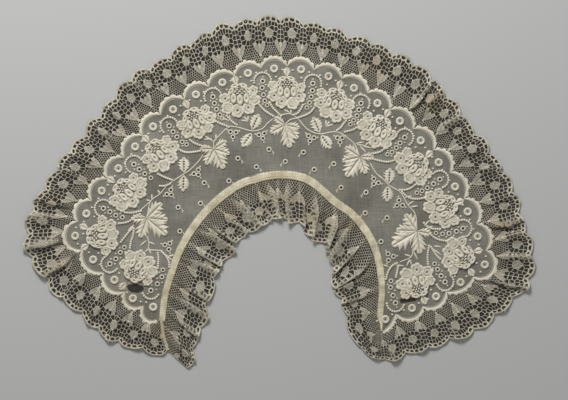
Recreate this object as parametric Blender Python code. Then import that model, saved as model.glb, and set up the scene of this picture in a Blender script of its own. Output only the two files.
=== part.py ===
"""An embroidered muslin collar edged with gathered bobbin lace, laid flat on a surface.

Blender 4.5, metres, +Z up. The collar lies on the plane Z = 0, its neck opening towards -Y.
Every size and every table below is in millimetres, and MM turns them into metres.
"""
import math

import bmesh
import bpy
from mathutils import Vector
from mathutils.geometry import delaunay_2d_cdt

MM = 0.001

# Sizes of the cloth
MUSLIN_THICKNESS = 1.0
LACE_THICKNESS = 1.0
SEAM_GAP = 0.3
BORDER_WIDTH = 3.2
BORDER_HEIGHT = 0.5
RELIEF_SLOPE = 0.45
BAND_END_WIDTH = 5.4
BAND_EXTRA_WIDTH = 2.0
BAND_EDGE_HEIGHT = 1.3
BAND_CROWN_HEIGHT = 2.0
BAND_CROWN_INSET = 1.7

# Steps of the outlines
ARC_STEPS = 8
BAND_STEPS = 66
FRILL_ROWS = (0.0, 0.3, 0.65, 1.0)
NECK_PARTS = 2
SEAM_STEPS = 10

# How far a scallop stands out from the chord between its two valleys
SCALLOP_BULGE = 7.0
CORNER_BULGE = 14.6
CORNER_SCALLOPS = (4, 25)

# The valleys between the scallops, from the left front point round the outer edge: x, y
VALLEYS = (
    (-109.4, -114.6),
    (-123.8, -102.6),
    (-140.9, -90.0),
    (-159.8, -72.5),
    (-178.7, -52.2),
    (-183.2, -24.3),
    (-170.6, -5.0),
    (-156.2, 14.4),
    (-141.3, 33.8),
    (-124.7, 53.6),
    (-108.0, 72.5),
    (-86.4, 86.4),
    (-64.8, 98.1),
    (-41.0, 108.0),
    (-17.1, 114.9),
    (6.8, 116.6),
    (31.6, 113.2),
    (56.8, 105.3),
    (80.5, 92.3),
    (100.6, 77.0),
    (121.8, 59.9),
    (140.2, 40.8),
    (155.1, 20.1),
    (167.8, -3.4),
    (179.2, -26.4),
    (187.7, -50.4),
    (175.5, -76.5),
    (151.1, -89.6),
    (130.1, -103.5),
    (105.5, -110.3),
    (93.2, -126.0),
)

# The muslin side of the neck band, from its left end to its right end: x, y
BAND_ROUTE = (
    (-108.4, -114.0),
    (-105.8, -91.0),
    (-100.4, -71.1),
    (-94.1, -53.1),
    (-86.0, -36.9),
    (-75.2, -21.2),
    (-63.5, -8.1),
    (-51.8, 2.3),
    (-37.4, 11.7),
    (-21.2, 17.6),
    (-5.0, 20.5),
    (11.3, 20.5),
    (25.7, 16.8),
    (37.4, 9.0),
    (51.8, -4.0),
    (66.2, -14.4),
    (77.0, -26.1),
    (86.0, -40.5),
    (91.4, -55.8),
    (94.5, -72.9),
    (95.0, -90.9),
    (93.6, -107.1),
    (92.3, -123.3),
)

# The free edge of the outer lace: valley number that it lies beside, x, y
OUTER_FREE_EDGE = (
    (-1.0, -100.6, -142.0),
    (0.0, -108.5, -143.6),
    (1.0, -137.3, -136.8),
    (2.0, -160.7, -124.2),
    (3.0, -184.1, -104.4),
    (4.0, -210.2, -77.4),
    (4.5, -228.6, -46.0),
    (5.0, -224.2, -19.8),
    (6.0, -209.3, 9.9),
    (7.0, -194.0, 32.4),
    (8.0, -175.1, 54.9),
    (9.0, -156.2, 79.2),
    (10.0, -133.7, 103.5),
    (11.0, -107.6, 119.7),
    (12.0, -80.6, 135.9),
    (13.0, -51.8, 151.2),
    (14.0, -22.1, 156.8),
    (15.0, 6.8, 157.4),
    (16.0, 38.3, 151.2),
    (17.0, 67.1, 141.3),
    (18.0, 97.7, 130.5),
    (19.0, 124.7, 114.3),
    (20.0, 149.9, 90.0),
    (21.0, 171.5, 62.1),
    (22.0, 191.3, 36.9),
    (23.0, 206.6, 11.7),
    (24.0, 216.5, -16.2),
    (25.0, 225.5, -44.1),
    (25.5, 227.6, -66.6),
    (26.0, 216.5, -90.0),
    (27.0, 179.6, -120.6),
    (28.0, 145.4, -135.0),
    (29.0, 116.6, -144.0),
    (30.0, 95.0, -149.4),
    (30.5, 82.0, -145.8),
    (31.0, 71.9, -138.4),
)

# The free edge of the neck lace: distance along the line it is gathered on, x, y
NECK_FREE_EDGE = (
    (0.0, -81.5, -157.5),
    (14.0, -77.9, -147.6),
    (31.0, -75.2, -134.1),
    (47.0, -68.9, -118.8),
    (64.0, -65.3, -99.9),
    (77.0, -59.0, -83.7),
    (95.0, -53.6, -66.6),
    (116.0, -42.8, -52.2),
    (133.0, -36.5, -40.5),
    (145.0, -28.4, -35.1),
    (164.0, -15.8, -28.8),
    (186.0, -8.6, -22.5),
    (205.0, 0.5, -20.7),
    (216.0, 8.6, -23.4),
    (227.0, 17.6, -27.9),
    (238.0, 23.0, -34.2),
    (249.0, 30.2, -38.7),
    (264.0, 37.4, -44.1),
    (277.0, 43.7, -48.6),
    (288.0, 46.4, -54.9),
    (298.0, 48.2, -62.1),
    (310.0, 47.3, -71.1),
    (324.0, 49.1, -81.0),
    (344.0, 52.7, -89.1),
    (363.0, 56.3, -99.0),
    (379.0, 59.9, -112.5),
    (386.0, 63.8, -123.0),
    (392.6, 71.3, -137.3),
)

# Where the two ends of the lace are joined, at the left front point
SEAM_TOP = (-106.4, -115.0)
SEAM_FOOT = (-100.2, -141.4)
SEAM_HALF_GAP = 0.2

# The end of the outer lace's gathering line, beside the right end of the band
OUTER_HEADING_END = (87.1, -124.1)

# Heads, the small scallops woven along the free edge of the lace
OUTER_HEADS = 52
NECK_HEADS = 22
HEAD_DEPTH = 2.4
HEAD_LEVEL = 0.55

# Large folds of the outer lace: valley number, half width in scallops, height, crest across
OUTER_FOLDS = (
    (1.6, 0.35, 2.0, 0.5),
    (3.4, 0.30, 2.4, 0.6),
    (4.2, 0.22, 3.6, 0.5),
    (4.75, 0.32, 5.0, 0.8),
    (6.5, 0.30, 2.6, 0.7),
    (8.6, 0.25, 3.0, 0.6),
    (11.4, 0.30, 2.6, 0.7),
    (13.6, 0.25, 2.4, 0.6),
    (17.6, 0.30, 2.8, 0.7),
    (19.5, 0.25, 3.0, 0.6),
    (20.6, 0.22, 3.2, 0.5),
    (22.3, 0.30, 2.6, 0.7),
    (24.1, 0.28, 5.2, 0.7),
    (25.45, 0.20, 4.2, 0.7),
    (25.95, 0.22, 3.6, 0.5),
    (27.5, 0.30, 2.4, 0.7),
    (29.4, 0.40, 3.2, 0.6),
)

# Even gathers of the outer lace, one at each valley and one at each scallop's middle
VALLEY_GATHER_HEIGHT = 2.3
VALLEY_GATHER_HALF_WIDTH = 0.28
VALLEY_GATHER_CREST = 0.45
MIDDLE_GATHER_HEIGHT = 1.2
MIDDLE_GATHER_HALF_WIDTH = 0.22
MIDDLE_GATHER_CREST = 1.0

# Flutes of the neck lace: distance along its gathering line, half width, height, crest across
NECK_FOLDS = (
    (20.0, 9.0, 3.0, 1.0),
    (45.0, 8.0, 4.2, 1.0),
    (60.0, 6.5, 4.8, 0.9),
    (76.0, 7.5, 5.2, 1.0),
    (96.0, 8.0, 5.6, 1.0),
    (118.0, 9.0, 6.4, 1.0),
    (136.0, 7.0, 5.0, 0.9),
    (156.0, 9.0, 6.6, 1.0),
    (176.0, 7.5, 5.4, 0.9),
    (193.0, 8.0, 6.8, 1.0),
    (209.0, 6.5, 5.2, 1.0),
    (222.0, 6.0, 6.4, 1.0),
    (236.0, 6.5, 5.0, 0.9),
    (252.0, 7.5, 6.2, 1.0),
    (270.0, 8.0, 5.4, 1.0),
    (287.0, 7.0, 6.2, 0.9),
    (304.0, 7.5, 5.4, 1.0),
    (322.0, 8.0, 5.2, 1.0),
    (343.0, 8.0, 4.6, 0.9),
    (362.0, 7.0, 4.2, 1.0),
    (380.0, 6.0, 3.4, 1.0),
)
FREE_EDGE_SHARE = 0.55

# Raised flowers: x, y
FLOWERS = (
    (-127.4, -65.7),
    (-160.7, -38.7),
    (-133.7, 1.8),
    (-106.7, 35.1),
    (-74.3, 64.8),
    (-35.6, 85.5),
    (6.8, 90.9),
    (50.0, 81.0),
    (88.7, 56.7),
    (121.1, 23.4),
    (145.4, -12.6),
    (161.6, -52.2),
    (121.1, -79.2),
)
FLOWER_RADIUS = 12.6
FLOWER_PETALS = 8
FLOWER_PETAL_DEPTH = 0.08
FLOWER_POINTS = 16
FLOWER_HEIGHT = 0.6
FLOWER_CORE = 0.45
FLOWER_CORE_HEIGHT = 1.0

# Raised vine leaves: x, y, direction of the middle lobe in degrees
VINE_LEAVES = (
    (-118.0, -24.0, -60.0),
    (-60.0, 34.0, -75.0),
    (5.5, 58.0, -90.0),
    (74.0, 26.0, -105.0),
    (119.0, -40.0, -120.0),
)
VINE_LOBE_RADIUS = 10.8
VINE_NOTCH_RADIUS = 6.4
VINE_LOBES = 5
VINE_HEIGHT = 0.45

# Raised small leaves in pairs: x, y, direction in degrees
SMALL_LEAVES = (
    (-86.2, 27.5, 75.0),
    (-86.2, 9.2, 100.0),
    (-20.7, 66.6, 115.0),
    (-28.4, 51.3, 125.0),
    (34.7, 63.3, 65.0),
    (41.3, 48.6, 55.0),
    (99.5, 16.2, 105.0),
    (97.7, 1.2, 80.0),
)
SMALL_LEAF_HALF_LENGTH = 6.4
SMALL_LEAF_HALF_WIDTH = 3.0
SMALL_LEAF_POINTS = 8
SMALL_LEAF_HEIGHT = 0.4

# A raised wheel in each scallop, this far inside the chord between its valleys
WHEEL_RADIUS = 3.4
WHEEL_POINTS = 8
WHEEL_HEIGHT = 0.5
WHEEL_INSET = 2.5
CORNER_WHEEL_INSET = -2.7
END_WHEEL_INSET = 3.0

# Two rips in the muslin, cut through: x, y
LEFT_RIP = (
    (-137.5, -83.0),
    (-135.5, -81.3),
    (-129.2, -81.0),
    (-122.4, -82.8),
    (-122.0, -86.4),
    (-127.4, -89.1),
    (-133.7, -88.2),
    (-135.8, -86.6),
)
RIGHT_RIP = (
    (108.5, -94.5),
    (114.8, -93.2),
    (122.0, -94.1),
    (121.5, -96.8),
    (113.9, -97.7),
    (109.4, -97.2),
)

# Material colours, linear: red, green, blue, then roughness
MUSLIN_FINISH = (0.45, 0.44, 0.38, 0.9)
BAND_FINISH = (0.60, 0.56, 0.43, 0.9)
OUTER_LACE_FINISH = (0.55, 0.50, 0.38, 0.85)
NECK_LACE_FINISH = (0.52, 0.46, 0.34, 0.85)


def clear_scene():
    """Remove whatever the opened file holds."""
    for item in list(bpy.data.objects):
        bpy.data.objects.remove(item, do_unlink=True)


def cloth_material(name, finish):
    """A matt cloth material from red, green, blue and roughness."""
    material = bpy.data.materials.new(name)
    material.use_nodes = True
    shader = material.node_tree.nodes["Principled BSDF"]
    shader.inputs["Base Color"].default_value = (*finish[:3], 1.0)
    shader.inputs["Roughness"].default_value = finish[3]
    shader.inputs["Metallic"].default_value = 0.0
    return material


def even_places(first, last, steps):
    """Positions at even steps, both ends included."""
    return [first + (last - first) * step / steps for step in range(steps + 1)]


def smooth_curve(table, places):
    """Points at the given positions on a smooth curve through rows of (position, x, y)."""
    knots = [row[0] for row in table]
    points = [Vector(row[1:]) for row in table]
    slopes = []
    for index in range(len(table)):
        before = max(index - 1, 0)
        after = min(index + 1, len(table) - 1)
        slopes.append((points[after] - points[before]) / (knots[after] - knots[before]))
    curve = []
    span = 0
    for place in places:
        while span < len(table) - 2 and place > knots[span + 1]:
            span += 1
        width = knots[span + 1] - knots[span]
        part = min(max((place - knots[span]) / width, 0.0), 1.0)
        rise = part * part * (3.0 - 2.0 * part)
        leave = part * (1.0 - part) ** 2 * width
        arrive = part * part * (part - 1.0) * width
        point = points[span].lerp(points[span + 1], rise)
        curve.append(point + slopes[span] * leave + slopes[span + 1] * arrive)
    return curve


def finer_path(path, parts):
    """A path with each straight span cut into equal parts."""
    points = [path[0]]
    for here, there in zip(path, path[1:]):
        points += [here.lerp(there, part / parts) for part in range(1, parts + 1)]
    return points


def running_length(path):
    """The distance along a path at each of its points."""
    lengths = [0.0]
    for here, there in zip(path, path[1:]):
        lengths.append(lengths[-1] + (there - here).length)
    return lengths


def with_lengths(points):
    """Rows of (distance along, x, y) for a route of points."""
    route = [Vector(point) for point in points]
    return [(length, point.x, point.y) for length, point in zip(running_length(route), route)]


def left_of(direction):
    """The unit vector to the left of a direction."""
    return Vector((-direction.y, direction.x)).normalized()


def beside_path(path, distances, stretch_limit=3.0):
    """A path moved sideways, positive to its left, by one distance for each point."""
    moved = []
    for index, point in enumerate(path):
        before = path[max(index - 1, 0)]
        after = path[min(index + 1, len(path) - 1)]
        first = left_of(point - before) if index > 0 else left_of(after - point)
        second = left_of(after - point) if index < len(path) - 1 else first
        middle = (first + second).normalized()
        stretch = min(1.0 / max(middle.dot(first), 0.01), stretch_limit)
        moved.append(point + middle * distances[index] * stretch)
    return moved


def scallop_bulge(number):
    """How far a scallop stands out: the two at the corners are nearly half circles."""
    return CORNER_BULGE if number in CORNER_SCALLOPS else SCALLOP_BULGE


def scallop_arc(number):
    """The points of one scallop, from its first valley up to, not including, its last."""
    start = Vector(VALLEYS[number])
    end = Vector(VALLEYS[number + 1])
    bulge = scallop_bulge(number)
    half_chord = (end - start).length / 2.0
    radius = (half_chord * half_chord + bulge * bulge) / (2.0 * bulge)
    outward = left_of(end - start)
    centre = (start + end) / 2.0 - outward * (radius - bulge)
    half_angle = math.atan2(half_chord, radius - bulge)
    along = (end - start).normalized()
    points = []
    for step in range(ARC_STEPS):
        angle = half_angle * (2.0 * step / ARC_STEPS - 1.0)
        points.append(centre + outward * radius * math.cos(angle) + along * radius * math.sin(angle))
    return points


def scalloped_edge():
    """The worked outer edge of the muslin, from the left front point to the right one."""
    edge = []
    for number in range(len(VALLEYS) - 1):
        edge += scallop_arc(number)
    edge.append(Vector(VALLEYS[-1]))
    return edge


def band_path():
    """The muslin side of the neck band as an even path."""
    table = with_lengths(BAND_ROUTE)
    return smooth_curve(table, even_places(0.0, table[-1][0], BAND_STEPS))


def band_widths():
    """The band's width at each point of its path: it narrows towards both ends."""
    widths = []
    for step in range(BAND_STEPS + 1):
        widths.append(BAND_END_WIDTH + BAND_EXTRA_WIDTH * math.sin(math.pi * step / BAND_STEPS))
    return widths


def closed_edges(first, count):
    """Index pairs round a closed loop of points."""
    return [(first + step, first + (step + 1) % count) for step in range(count)]


def open_edges(first, count):
    """Index pairs along an open line of points."""
    return [(first + step, first + step + 1) for step in range(count - 1)]


def is_inside(point, loop):
    """Whether a point lies inside a closed loop."""
    inside = False
    for here, there in zip(loop, loop[1:] + loop[:1]):
        if (here.y > point.y) != (there.y > point.y):
            crossing = here.x + (point.y - here.y) * (there.x - here.x) / (there.y - here.y)
            if point.x < crossing:
                inside = not inside
    return inside


def triangles_of(points, edges, outline, holes):
    """Triangles over the given points inside the outline and outside the holes."""
    verts, _, faces, sources, _, _ = delaunay_2d_cdt(points, edges, [], 0, 1e-6, True)
    triangles = []
    for face in faces:
        middle = sum((verts[corner] for corner in face), Vector((0.0, 0.0))) / 3.0
        if is_inside(middle, outline) and not any(is_inside(middle, hole) for hole in holes):
            triangles.append([sources[corner][0] for corner in face])
    return triangles


def finish_object(name, mesh, material):
    """Put a mesh in the scene as one named object."""
    model = bmesh.new()
    model.from_mesh(mesh)
    bmesh.ops.recalc_face_normals(model, faces=model.faces)
    model.to_mesh(mesh)
    model.free()
    mesh.materials.append(material)
    item = bpy.data.objects.new(name, mesh)
    bpy.context.scene.collection.objects.link(item)
    return item


def relief_panel(name, outline, holes, reliefs, material):
    """A flat-bottomed panel whose top face rises through the points of its reliefs.

    Each relief is (points, height, closed). The outline stands as high as the worked border.
    """
    points = list(outline)
    heights = [MUSLIN_THICKNESS + BORDER_HEIGHT] * len(outline)
    edges = closed_edges(0, len(outline))
    for hole in holes:
        edges += closed_edges(len(points), len(hole))
        points += hole
        heights += [MUSLIN_THICKNESS] * len(hole)
    wall_edges = list(edges)
    wall_count = len(points)
    for line, height, closed in reliefs:
        link = closed_edges if closed else open_edges
        edges += link(len(points), len(line))
        points += line
        heights += [MUSLIN_THICKNESS + height] * len(line)
    top = triangles_of(points, edges, outline, holes)
    bottom = triangles_of(points[:wall_count], wall_edges, outline, holes)
    verts = [(point.x * MM, point.y * MM, height * MM) for point, height in zip(points, heights)]
    lower = len(verts)
    verts += [(point.x * MM, point.y * MM, 0.0) for point in points[:wall_count]]
    faces = list(top)
    faces += [[lower + corner for corner in reversed(face)] for face in bottom]
    faces += [[here, there, lower + there, lower + here] for here, there in wall_edges]
    mesh = bpy.data.meshes.new(name)
    mesh.from_pydata(verts, [], faces)
    return finish_object(name, mesh, material)


def ring_points(centre, radius_at, count, turn=0.0):
    """Points round a centre, the radius given by a function of the angle."""
    points = []
    for step in range(count):
        angle = 2.0 * math.pi * step / count
        spoke = Vector((math.cos(angle + turn), math.sin(angle + turn)))
        points.append(Vector(centre) + spoke * radius_at(angle))
    return points


def plateau(centre, radius_at, count, height, turn=0.0):
    """A raised motif: its foot on the cloth and its rim a little inside and higher."""
    foot = ring_points(centre, radius_at, count, turn)
    rim = ring_points(centre, lambda angle: radius_at(angle) - RELIEF_SLOPE, count, turn)
    return [(foot, 0.0, True), (rim, height, True)]


def flower_reliefs():
    """Each flower: a lobed pad of petals with a higher round heart."""
    reliefs = []

    def petals(angle):
        return FLOWER_RADIUS * (1.0 + FLOWER_PETAL_DEPTH * math.cos(FLOWER_PETALS * angle))

    def heart(angle):
        return FLOWER_RADIUS * FLOWER_CORE

    for x, y in FLOWERS:
        reliefs += plateau((x, y), petals, FLOWER_POINTS, FLOWER_HEIGHT)
        reliefs.append((ring_points((x, y), heart, FLOWER_POINTS // 2), FLOWER_CORE_HEIGHT, True))
    return reliefs


def vine_leaf_reliefs():
    """Each vine leaf: five pointed lobes, with a notch between each two."""
    reliefs = []
    middle = (VINE_LOBE_RADIUS + VINE_NOTCH_RADIUS) / 2.0
    swing = (VINE_LOBE_RADIUS - VINE_NOTCH_RADIUS) / 2.0

    def lobes(angle):
        return middle + swing * math.cos(VINE_LOBES * angle)

    for x, y, direction in VINE_LEAVES:
        reliefs += plateau((x, y), lobes, VINE_LOBES * 2, VINE_HEIGHT, math.radians(direction))
    return reliefs


def small_leaf_reliefs():
    """The small oval leaves that lie in pairs between the vine leaves."""
    reliefs = []

    def oval(angle):
        across = SMALL_LEAF_HALF_LENGTH * math.sin(angle)
        along = SMALL_LEAF_HALF_WIDTH * math.cos(angle)
        return SMALL_LEAF_HALF_LENGTH * SMALL_LEAF_HALF_WIDTH / math.hypot(across, along)

    for x, y, direction in SMALL_LEAVES:
        turn = math.radians(direction)
        reliefs += plateau((x, y), oval, SMALL_LEAF_POINTS, SMALL_LEAF_HEIGHT, turn)
    return reliefs


def wheel_inset(number):
    """How far inside its scallop's chord a wheel lies."""
    if number in CORNER_SCALLOPS:
        return CORNER_WHEEL_INSET
    if number in (0, len(VALLEYS) - 2):
        return END_WHEEL_INSET
    return WHEEL_INSET


def wheel_reliefs():
    """One raised wheel in each scallop."""
    reliefs = []
    for number in range(len(VALLEYS) - 1):
        start = Vector(VALLEYS[number])
        end = Vector(VALLEYS[number + 1])
        centre = (start + end) / 2.0 - left_of(end - start) * wheel_inset(number)
        reliefs += plateau(centre, lambda angle: WHEEL_RADIUS, WHEEL_POINTS, WHEEL_HEIGHT)
    return reliefs


def border_reliefs(edge):
    """The two lines along the inner side of the worked border, at its rim and at its foot."""
    inner = edge[ARC_STEPS // 2:-(ARC_STEPS // 2)]
    rim = beside_path(inner, [-BORDER_WIDTH] * len(inner), stretch_limit=1.2)
    foot_distance = BORDER_WIDTH + RELIEF_SLOPE
    foot = beside_path(inner, [-foot_distance] * len(inner), stretch_limit=1.2)
    return [(rim, BORDER_HEIGHT, False), (foot, 0.0, False)]


def build_muslin(edge):
    """The embroidered muslin panel."""
    path = band_path()
    neck_edge = beside_path(path, [SEAM_GAP] * len(path))
    outline = edge + list(reversed(neck_edge))
    rips = [[Vector(point) for point in rip] for rip in (LEFT_RIP, RIGHT_RIP)]
    reliefs = border_reliefs(edge) + wheel_reliefs() + flower_reliefs()
    reliefs += vine_leaf_reliefs() + small_leaf_reliefs()
    finish = cloth_material("sheer_muslin", MUSLIN_FINISH)
    return relief_panel("muslin_panel", outline, rips, reliefs, finish)


def build_band():
    """The folded neck band: flat below, gently crowned above."""
    path = band_path()
    widths = band_widths()
    rings = []
    for share, inset, height in (
        (0.0, 0.0, 0.0),
        (1.0, 0.0, 0.0),
        (1.0, 0.0, BAND_EDGE_HEIGHT),
        (1.0, -BAND_CROWN_INSET, BAND_CROWN_HEIGHT),
        (0.0, BAND_CROWN_INSET, BAND_CROWN_HEIGHT),
        (0.0, 0.0, BAND_EDGE_HEIGHT),
    ):
        distances = [-(width * share + inset) for width in widths]
        rings.append([(point.x, point.y, height) for point in beside_path(path, distances)])
    return swept_solid("neck_band", rings, cloth_material("bound_muslin", BAND_FINISH))


def swept_solid(name, rings, material):
    """A closed solid through several long lines of points that run side by side."""
    lines = len(rings)
    length = len(rings[0])
    verts = [(x * MM, y * MM, z * MM) for ring in rings for x, y, z in ring]
    faces = []
    for line in range(lines):
        here = line * length
        there = (line + 1) % lines * length
        for step in range(length - 1):
            faces.append([here + step, here + step + 1, there + step + 1, there + step])
    faces.append([line * length for line in range(lines)])
    faces.append([line * length + length - 1 for line in reversed(range(lines))])
    mesh = bpy.data.meshes.new(name)
    mesh.from_pydata(verts, [], faces)
    return finish_object(name, mesh, material)


def fold_lift(place, across, folds):
    """The height of the folds at a place along the lace and across it, 0 at its heading."""
    lift = 0.0
    for centre, half_width, height, crest in folds:
        offset = abs(place - centre) / half_width
        if offset < 1.0:
            if across <= crest:
                share = across / crest
            else:
                share = 1.0 - (1.0 - FREE_EDGE_SHARE) * (across - crest) / (1.0 - crest)
            lift = max(lift, height * share * (0.5 + 0.5 * math.cos(math.pi * offset)))
    return lift


def with_heads(heading, free_edge, heads):
    """The free edge with its small scallops, pushed out and in along the lace's width."""
    lengths = running_length(free_edge)
    shaped = []
    for inner, outer, length in zip(heading, free_edge, lengths):
        wave = abs(math.sin(math.pi * heads * length / lengths[-1])) - HEAD_LEVEL
        shaped.append(outer + (outer - inner).normalized() * HEAD_DEPTH * wave)
    return shaped


def build_frill(name, heading, free_edge, places, folds, material):
    """Gathered lace between its heading and its free edge, flat below between its folds."""
    below = []
    above = []
    for across in FRILL_ROWS:
        row = []
        for inner, outer, place in zip(heading, free_edge, places):
            point = inner.lerp(outer, across)
            row.append((point.x, point.y, fold_lift(place, across, folds)))
        below.append(row)
        above.append([(x, y, z + LACE_THICKNESS) for x, y, z in row])
    return swept_solid(name, below + list(reversed(above)), material)


def all_outer_folds():
    """The large folds of the outer lace with the even gathers between them."""
    folds = list(OUTER_FOLDS)
    for number in range(len(VALLEYS)):
        folds.append((number, VALLEY_GATHER_HALF_WIDTH, VALLEY_GATHER_HEIGHT, VALLEY_GATHER_CREST))
        folds.append((number + 0.5, MIDDLE_GATHER_HALF_WIDTH, MIDDLE_GATHER_HEIGHT,
                      MIDDLE_GATHER_CREST))
    return folds


def build_outer_frill(edge):
    """The lace round the fronts and the outer edge, from its seam past the right point."""
    followed = beside_path(edge, [SEAM_GAP] * len(edge))
    start = Vector(SEAM_TOP) - Vector((SEAM_HALF_GAP, 0.0))
    end = Vector(OUTER_HEADING_END)
    heading = finer_path([start, followed[0]], ARC_STEPS)[:-1] + followed
    heading += finer_path([followed[-1], end], ARC_STEPS)[1:]
    places = even_places(-1.0, len(VALLEYS), len(heading) - 1)
    free_edge = with_heads(heading, smooth_curve(OUTER_FREE_EDGE, places), OUTER_HEADS)
    finish = cloth_material("outer_lace", OUTER_LACE_FINISH)
    return build_frill("outer_lace_frill", heading, free_edge, places, all_outer_folds(), finish)


def build_neck_frill():
    """The lace up the neck edge, from its cut tail at the seam to the right front point."""
    inner = beside_path(band_path(), [-(width + SEAM_GAP) for width in band_widths()])
    half_gap = Vector((SEAM_HALF_GAP, 0.0))
    seam = finer_path([Vector(SEAM_FOOT) + half_gap, Vector(SEAM_TOP) + half_gap], SEAM_STEPS)
    heading = seam + finer_path(inner, NECK_PARTS)
    places = running_length(heading)
    free_edge = with_heads(heading, smooth_curve(NECK_FREE_EDGE, places), NECK_HEADS)
    finish = cloth_material("neck_lace", NECK_LACE_FINISH)
    return build_frill("neck_lace_frill", heading, free_edge, places, NECK_FOLDS, finish)


def main():
    """Build the four pieces of the collar."""
    clear_scene()
    edge = scalloped_edge()
    build_muslin(edge)
    build_band()
    build_outer_frill(edge)
    build_neck_frill()


main()
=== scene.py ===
"""The embroidered muslin collar with its gathered lace, dressed over its solids.

Sizes are in millimetres unless a name says otherwise, and MM turns them into metres.
Places of embroidery are read off the photograph, in its pixels, and from_photo turns them
into millimetres in the part's own frame.
"""
import math

import bpy
import numpy as np
from mathutils.geometry import delaunay_2d_cdt
from mathutils.kdtree import KDTree
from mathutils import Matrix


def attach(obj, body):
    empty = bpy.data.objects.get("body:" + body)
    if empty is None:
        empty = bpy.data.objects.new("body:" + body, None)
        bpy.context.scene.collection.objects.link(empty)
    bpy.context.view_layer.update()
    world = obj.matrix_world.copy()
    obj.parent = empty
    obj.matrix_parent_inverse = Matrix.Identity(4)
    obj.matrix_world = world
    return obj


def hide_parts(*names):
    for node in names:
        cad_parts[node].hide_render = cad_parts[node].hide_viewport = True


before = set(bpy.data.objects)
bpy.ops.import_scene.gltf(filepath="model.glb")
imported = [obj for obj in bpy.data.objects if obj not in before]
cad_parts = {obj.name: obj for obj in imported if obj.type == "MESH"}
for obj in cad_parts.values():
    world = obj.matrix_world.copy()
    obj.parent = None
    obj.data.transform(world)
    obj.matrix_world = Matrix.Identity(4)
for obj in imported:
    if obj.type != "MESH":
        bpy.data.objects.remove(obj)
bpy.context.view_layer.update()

MM = 0.001
SHARP_DEGREES = 70.0

# The photograph, in pixels: where the part's origin lies, the scale, the middle and the width
ORIGIN_PIXEL = (279.5, 194.0)
MM_PER_PIXEL = 0.9
IMAGE_MIDDLE = (284.0, 200.0)
IMAGE_WIDTH = 568

# Levels above the floor
LACE_LEVEL = 1.0
UNDER_MUSLIN = 0.45
MUSLIN_TOP = 1.1
MUSLIN_THICKNESS = 0.3

# Scallops of the muslin's worked edge: how far they stand out, then the points along each and
# the small lobes of each in turn
SCALLOP_BULGE = 8.4
CORNER_BULGE = 14.6
CORNER_SCALLOPS = (4, 25)
SHALLOW_BULGES = {26: 6.0, 27: 7.4, 29: 3.2}
ARC_STEPS = 72
SUB_LOBES = (5, 6, 5, 7, 6)

# The muslin sheet: points for each scallop of its edge, how far it stays inside its worked edge
# and inside the band, its grid's reach in x and y and its spacing, how far the grid stays from
# the holes, and the radius of the hole in a wheel
EDGE_STEPS = 24
EDGE_INSET = 0.6
NECK_INSET = 1.5
GRID_REACH = ((-205.0, 205.0), (-135.0, 130.0))
GRID_STEP = 3.6
GRID_CLEARANCE = 0.6
WHEEL_EYE = 0.6

# The valleys between the scallops, from the left front point round the outer edge: x, y
VALLEYS = (
    (-109.4, -114.6), (-123.8, -102.6), (-140.9, -90.0), (-159.8, -72.5), (-178.7, -52.2),
    (-183.2, -24.3), (-170.6, -5.0), (-156.2, 14.4), (-141.3, 33.8), (-124.7, 53.6),
    (-108.0, 72.5), (-86.4, 86.4), (-64.8, 98.1), (-41.0, 108.0), (-17.1, 114.9), (6.8, 116.6),
    (31.6, 113.2), (56.8, 105.3), (80.5, 92.3), (100.6, 77.0), (121.8, 59.9), (140.2, 40.8),
    (155.1, 20.1), (167.8, -3.4), (179.2, -26.4), (187.7, -50.4), (175.5, -76.5), (151.1, -89.6),
    (130.1, -103.5), (105.5, -110.3), (93.2, -126.0),
)

# The muslin side of the neck band, from its left end to its right end: x, y
BAND_ROUTE = (
    (-108.4, -114.0), (-105.8, -91.0), (-100.4, -71.1), (-94.1, -53.1), (-86.0, -36.9),
    (-75.2, -21.2), (-63.5, -8.1), (-51.8, 2.3), (-37.4, 11.7), (-21.2, 17.6), (-5.0, 20.5),
    (11.3, 20.5), (25.7, 16.8), (37.4, 9.0), (51.8, -4.0), (66.2, -14.4), (77.0, -26.1),
    (86.0, -40.5), (91.4, -55.8), (94.5, -72.9), (95.0, -90.9), (93.6, -107.1), (92.3, -123.3),
)

# The band: points along it, its width at its ends, what it gains towards its middle, and the
# share of its length in which its right end tapers
BAND_STEPS = 264
BAND_END_WIDTH = 5.4
BAND_EXTRA_WIDTH = 2.0
BAND_TAPER = 0.035

# The free edge of the outer lace: valley number that it lies beside, x, y
OUTER_FREE_EDGE = (
    (-1.0, -100.6, -142.0), (0.0, -108.5, -143.6), (1.0, -137.3, -136.8), (2.0, -160.7, -124.2),
    (3.0, -184.1, -104.4), (4.0, -210.2, -77.4), (4.5, -228.6, -46.0), (5.0, -224.2, -19.8),
    (6.0, -209.3, 9.9), (7.0, -194.0, 32.4), (8.0, -175.1, 54.9), (9.0, -156.2, 79.2),
    (10.0, -133.7, 103.5), (11.0, -107.6, 119.7), (12.0, -80.6, 135.9), (13.0, -51.8, 151.2),
    (14.0, -22.1, 156.8), (15.0, 6.8, 157.4), (16.0, 38.3, 151.2), (17.0, 67.1, 141.3),
    (18.0, 97.7, 130.5), (19.0, 124.7, 114.3), (20.0, 149.9, 90.0), (21.0, 171.5, 62.1),
    (22.0, 191.3, 36.9), (23.0, 206.6, 11.7), (24.0, 216.5, -16.2), (25.0, 225.5, -44.1),
    (25.5, 227.6, -66.6), (26.0, 216.5, -90.0), (27.0, 179.6, -120.6), (28.0, 145.4, -135.0),
    (29.0, 116.6, -144.0), (30.0, 95.0, -149.4), (30.5, 82.0, -145.8), (31.0, 71.9, -138.4),
)

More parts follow.
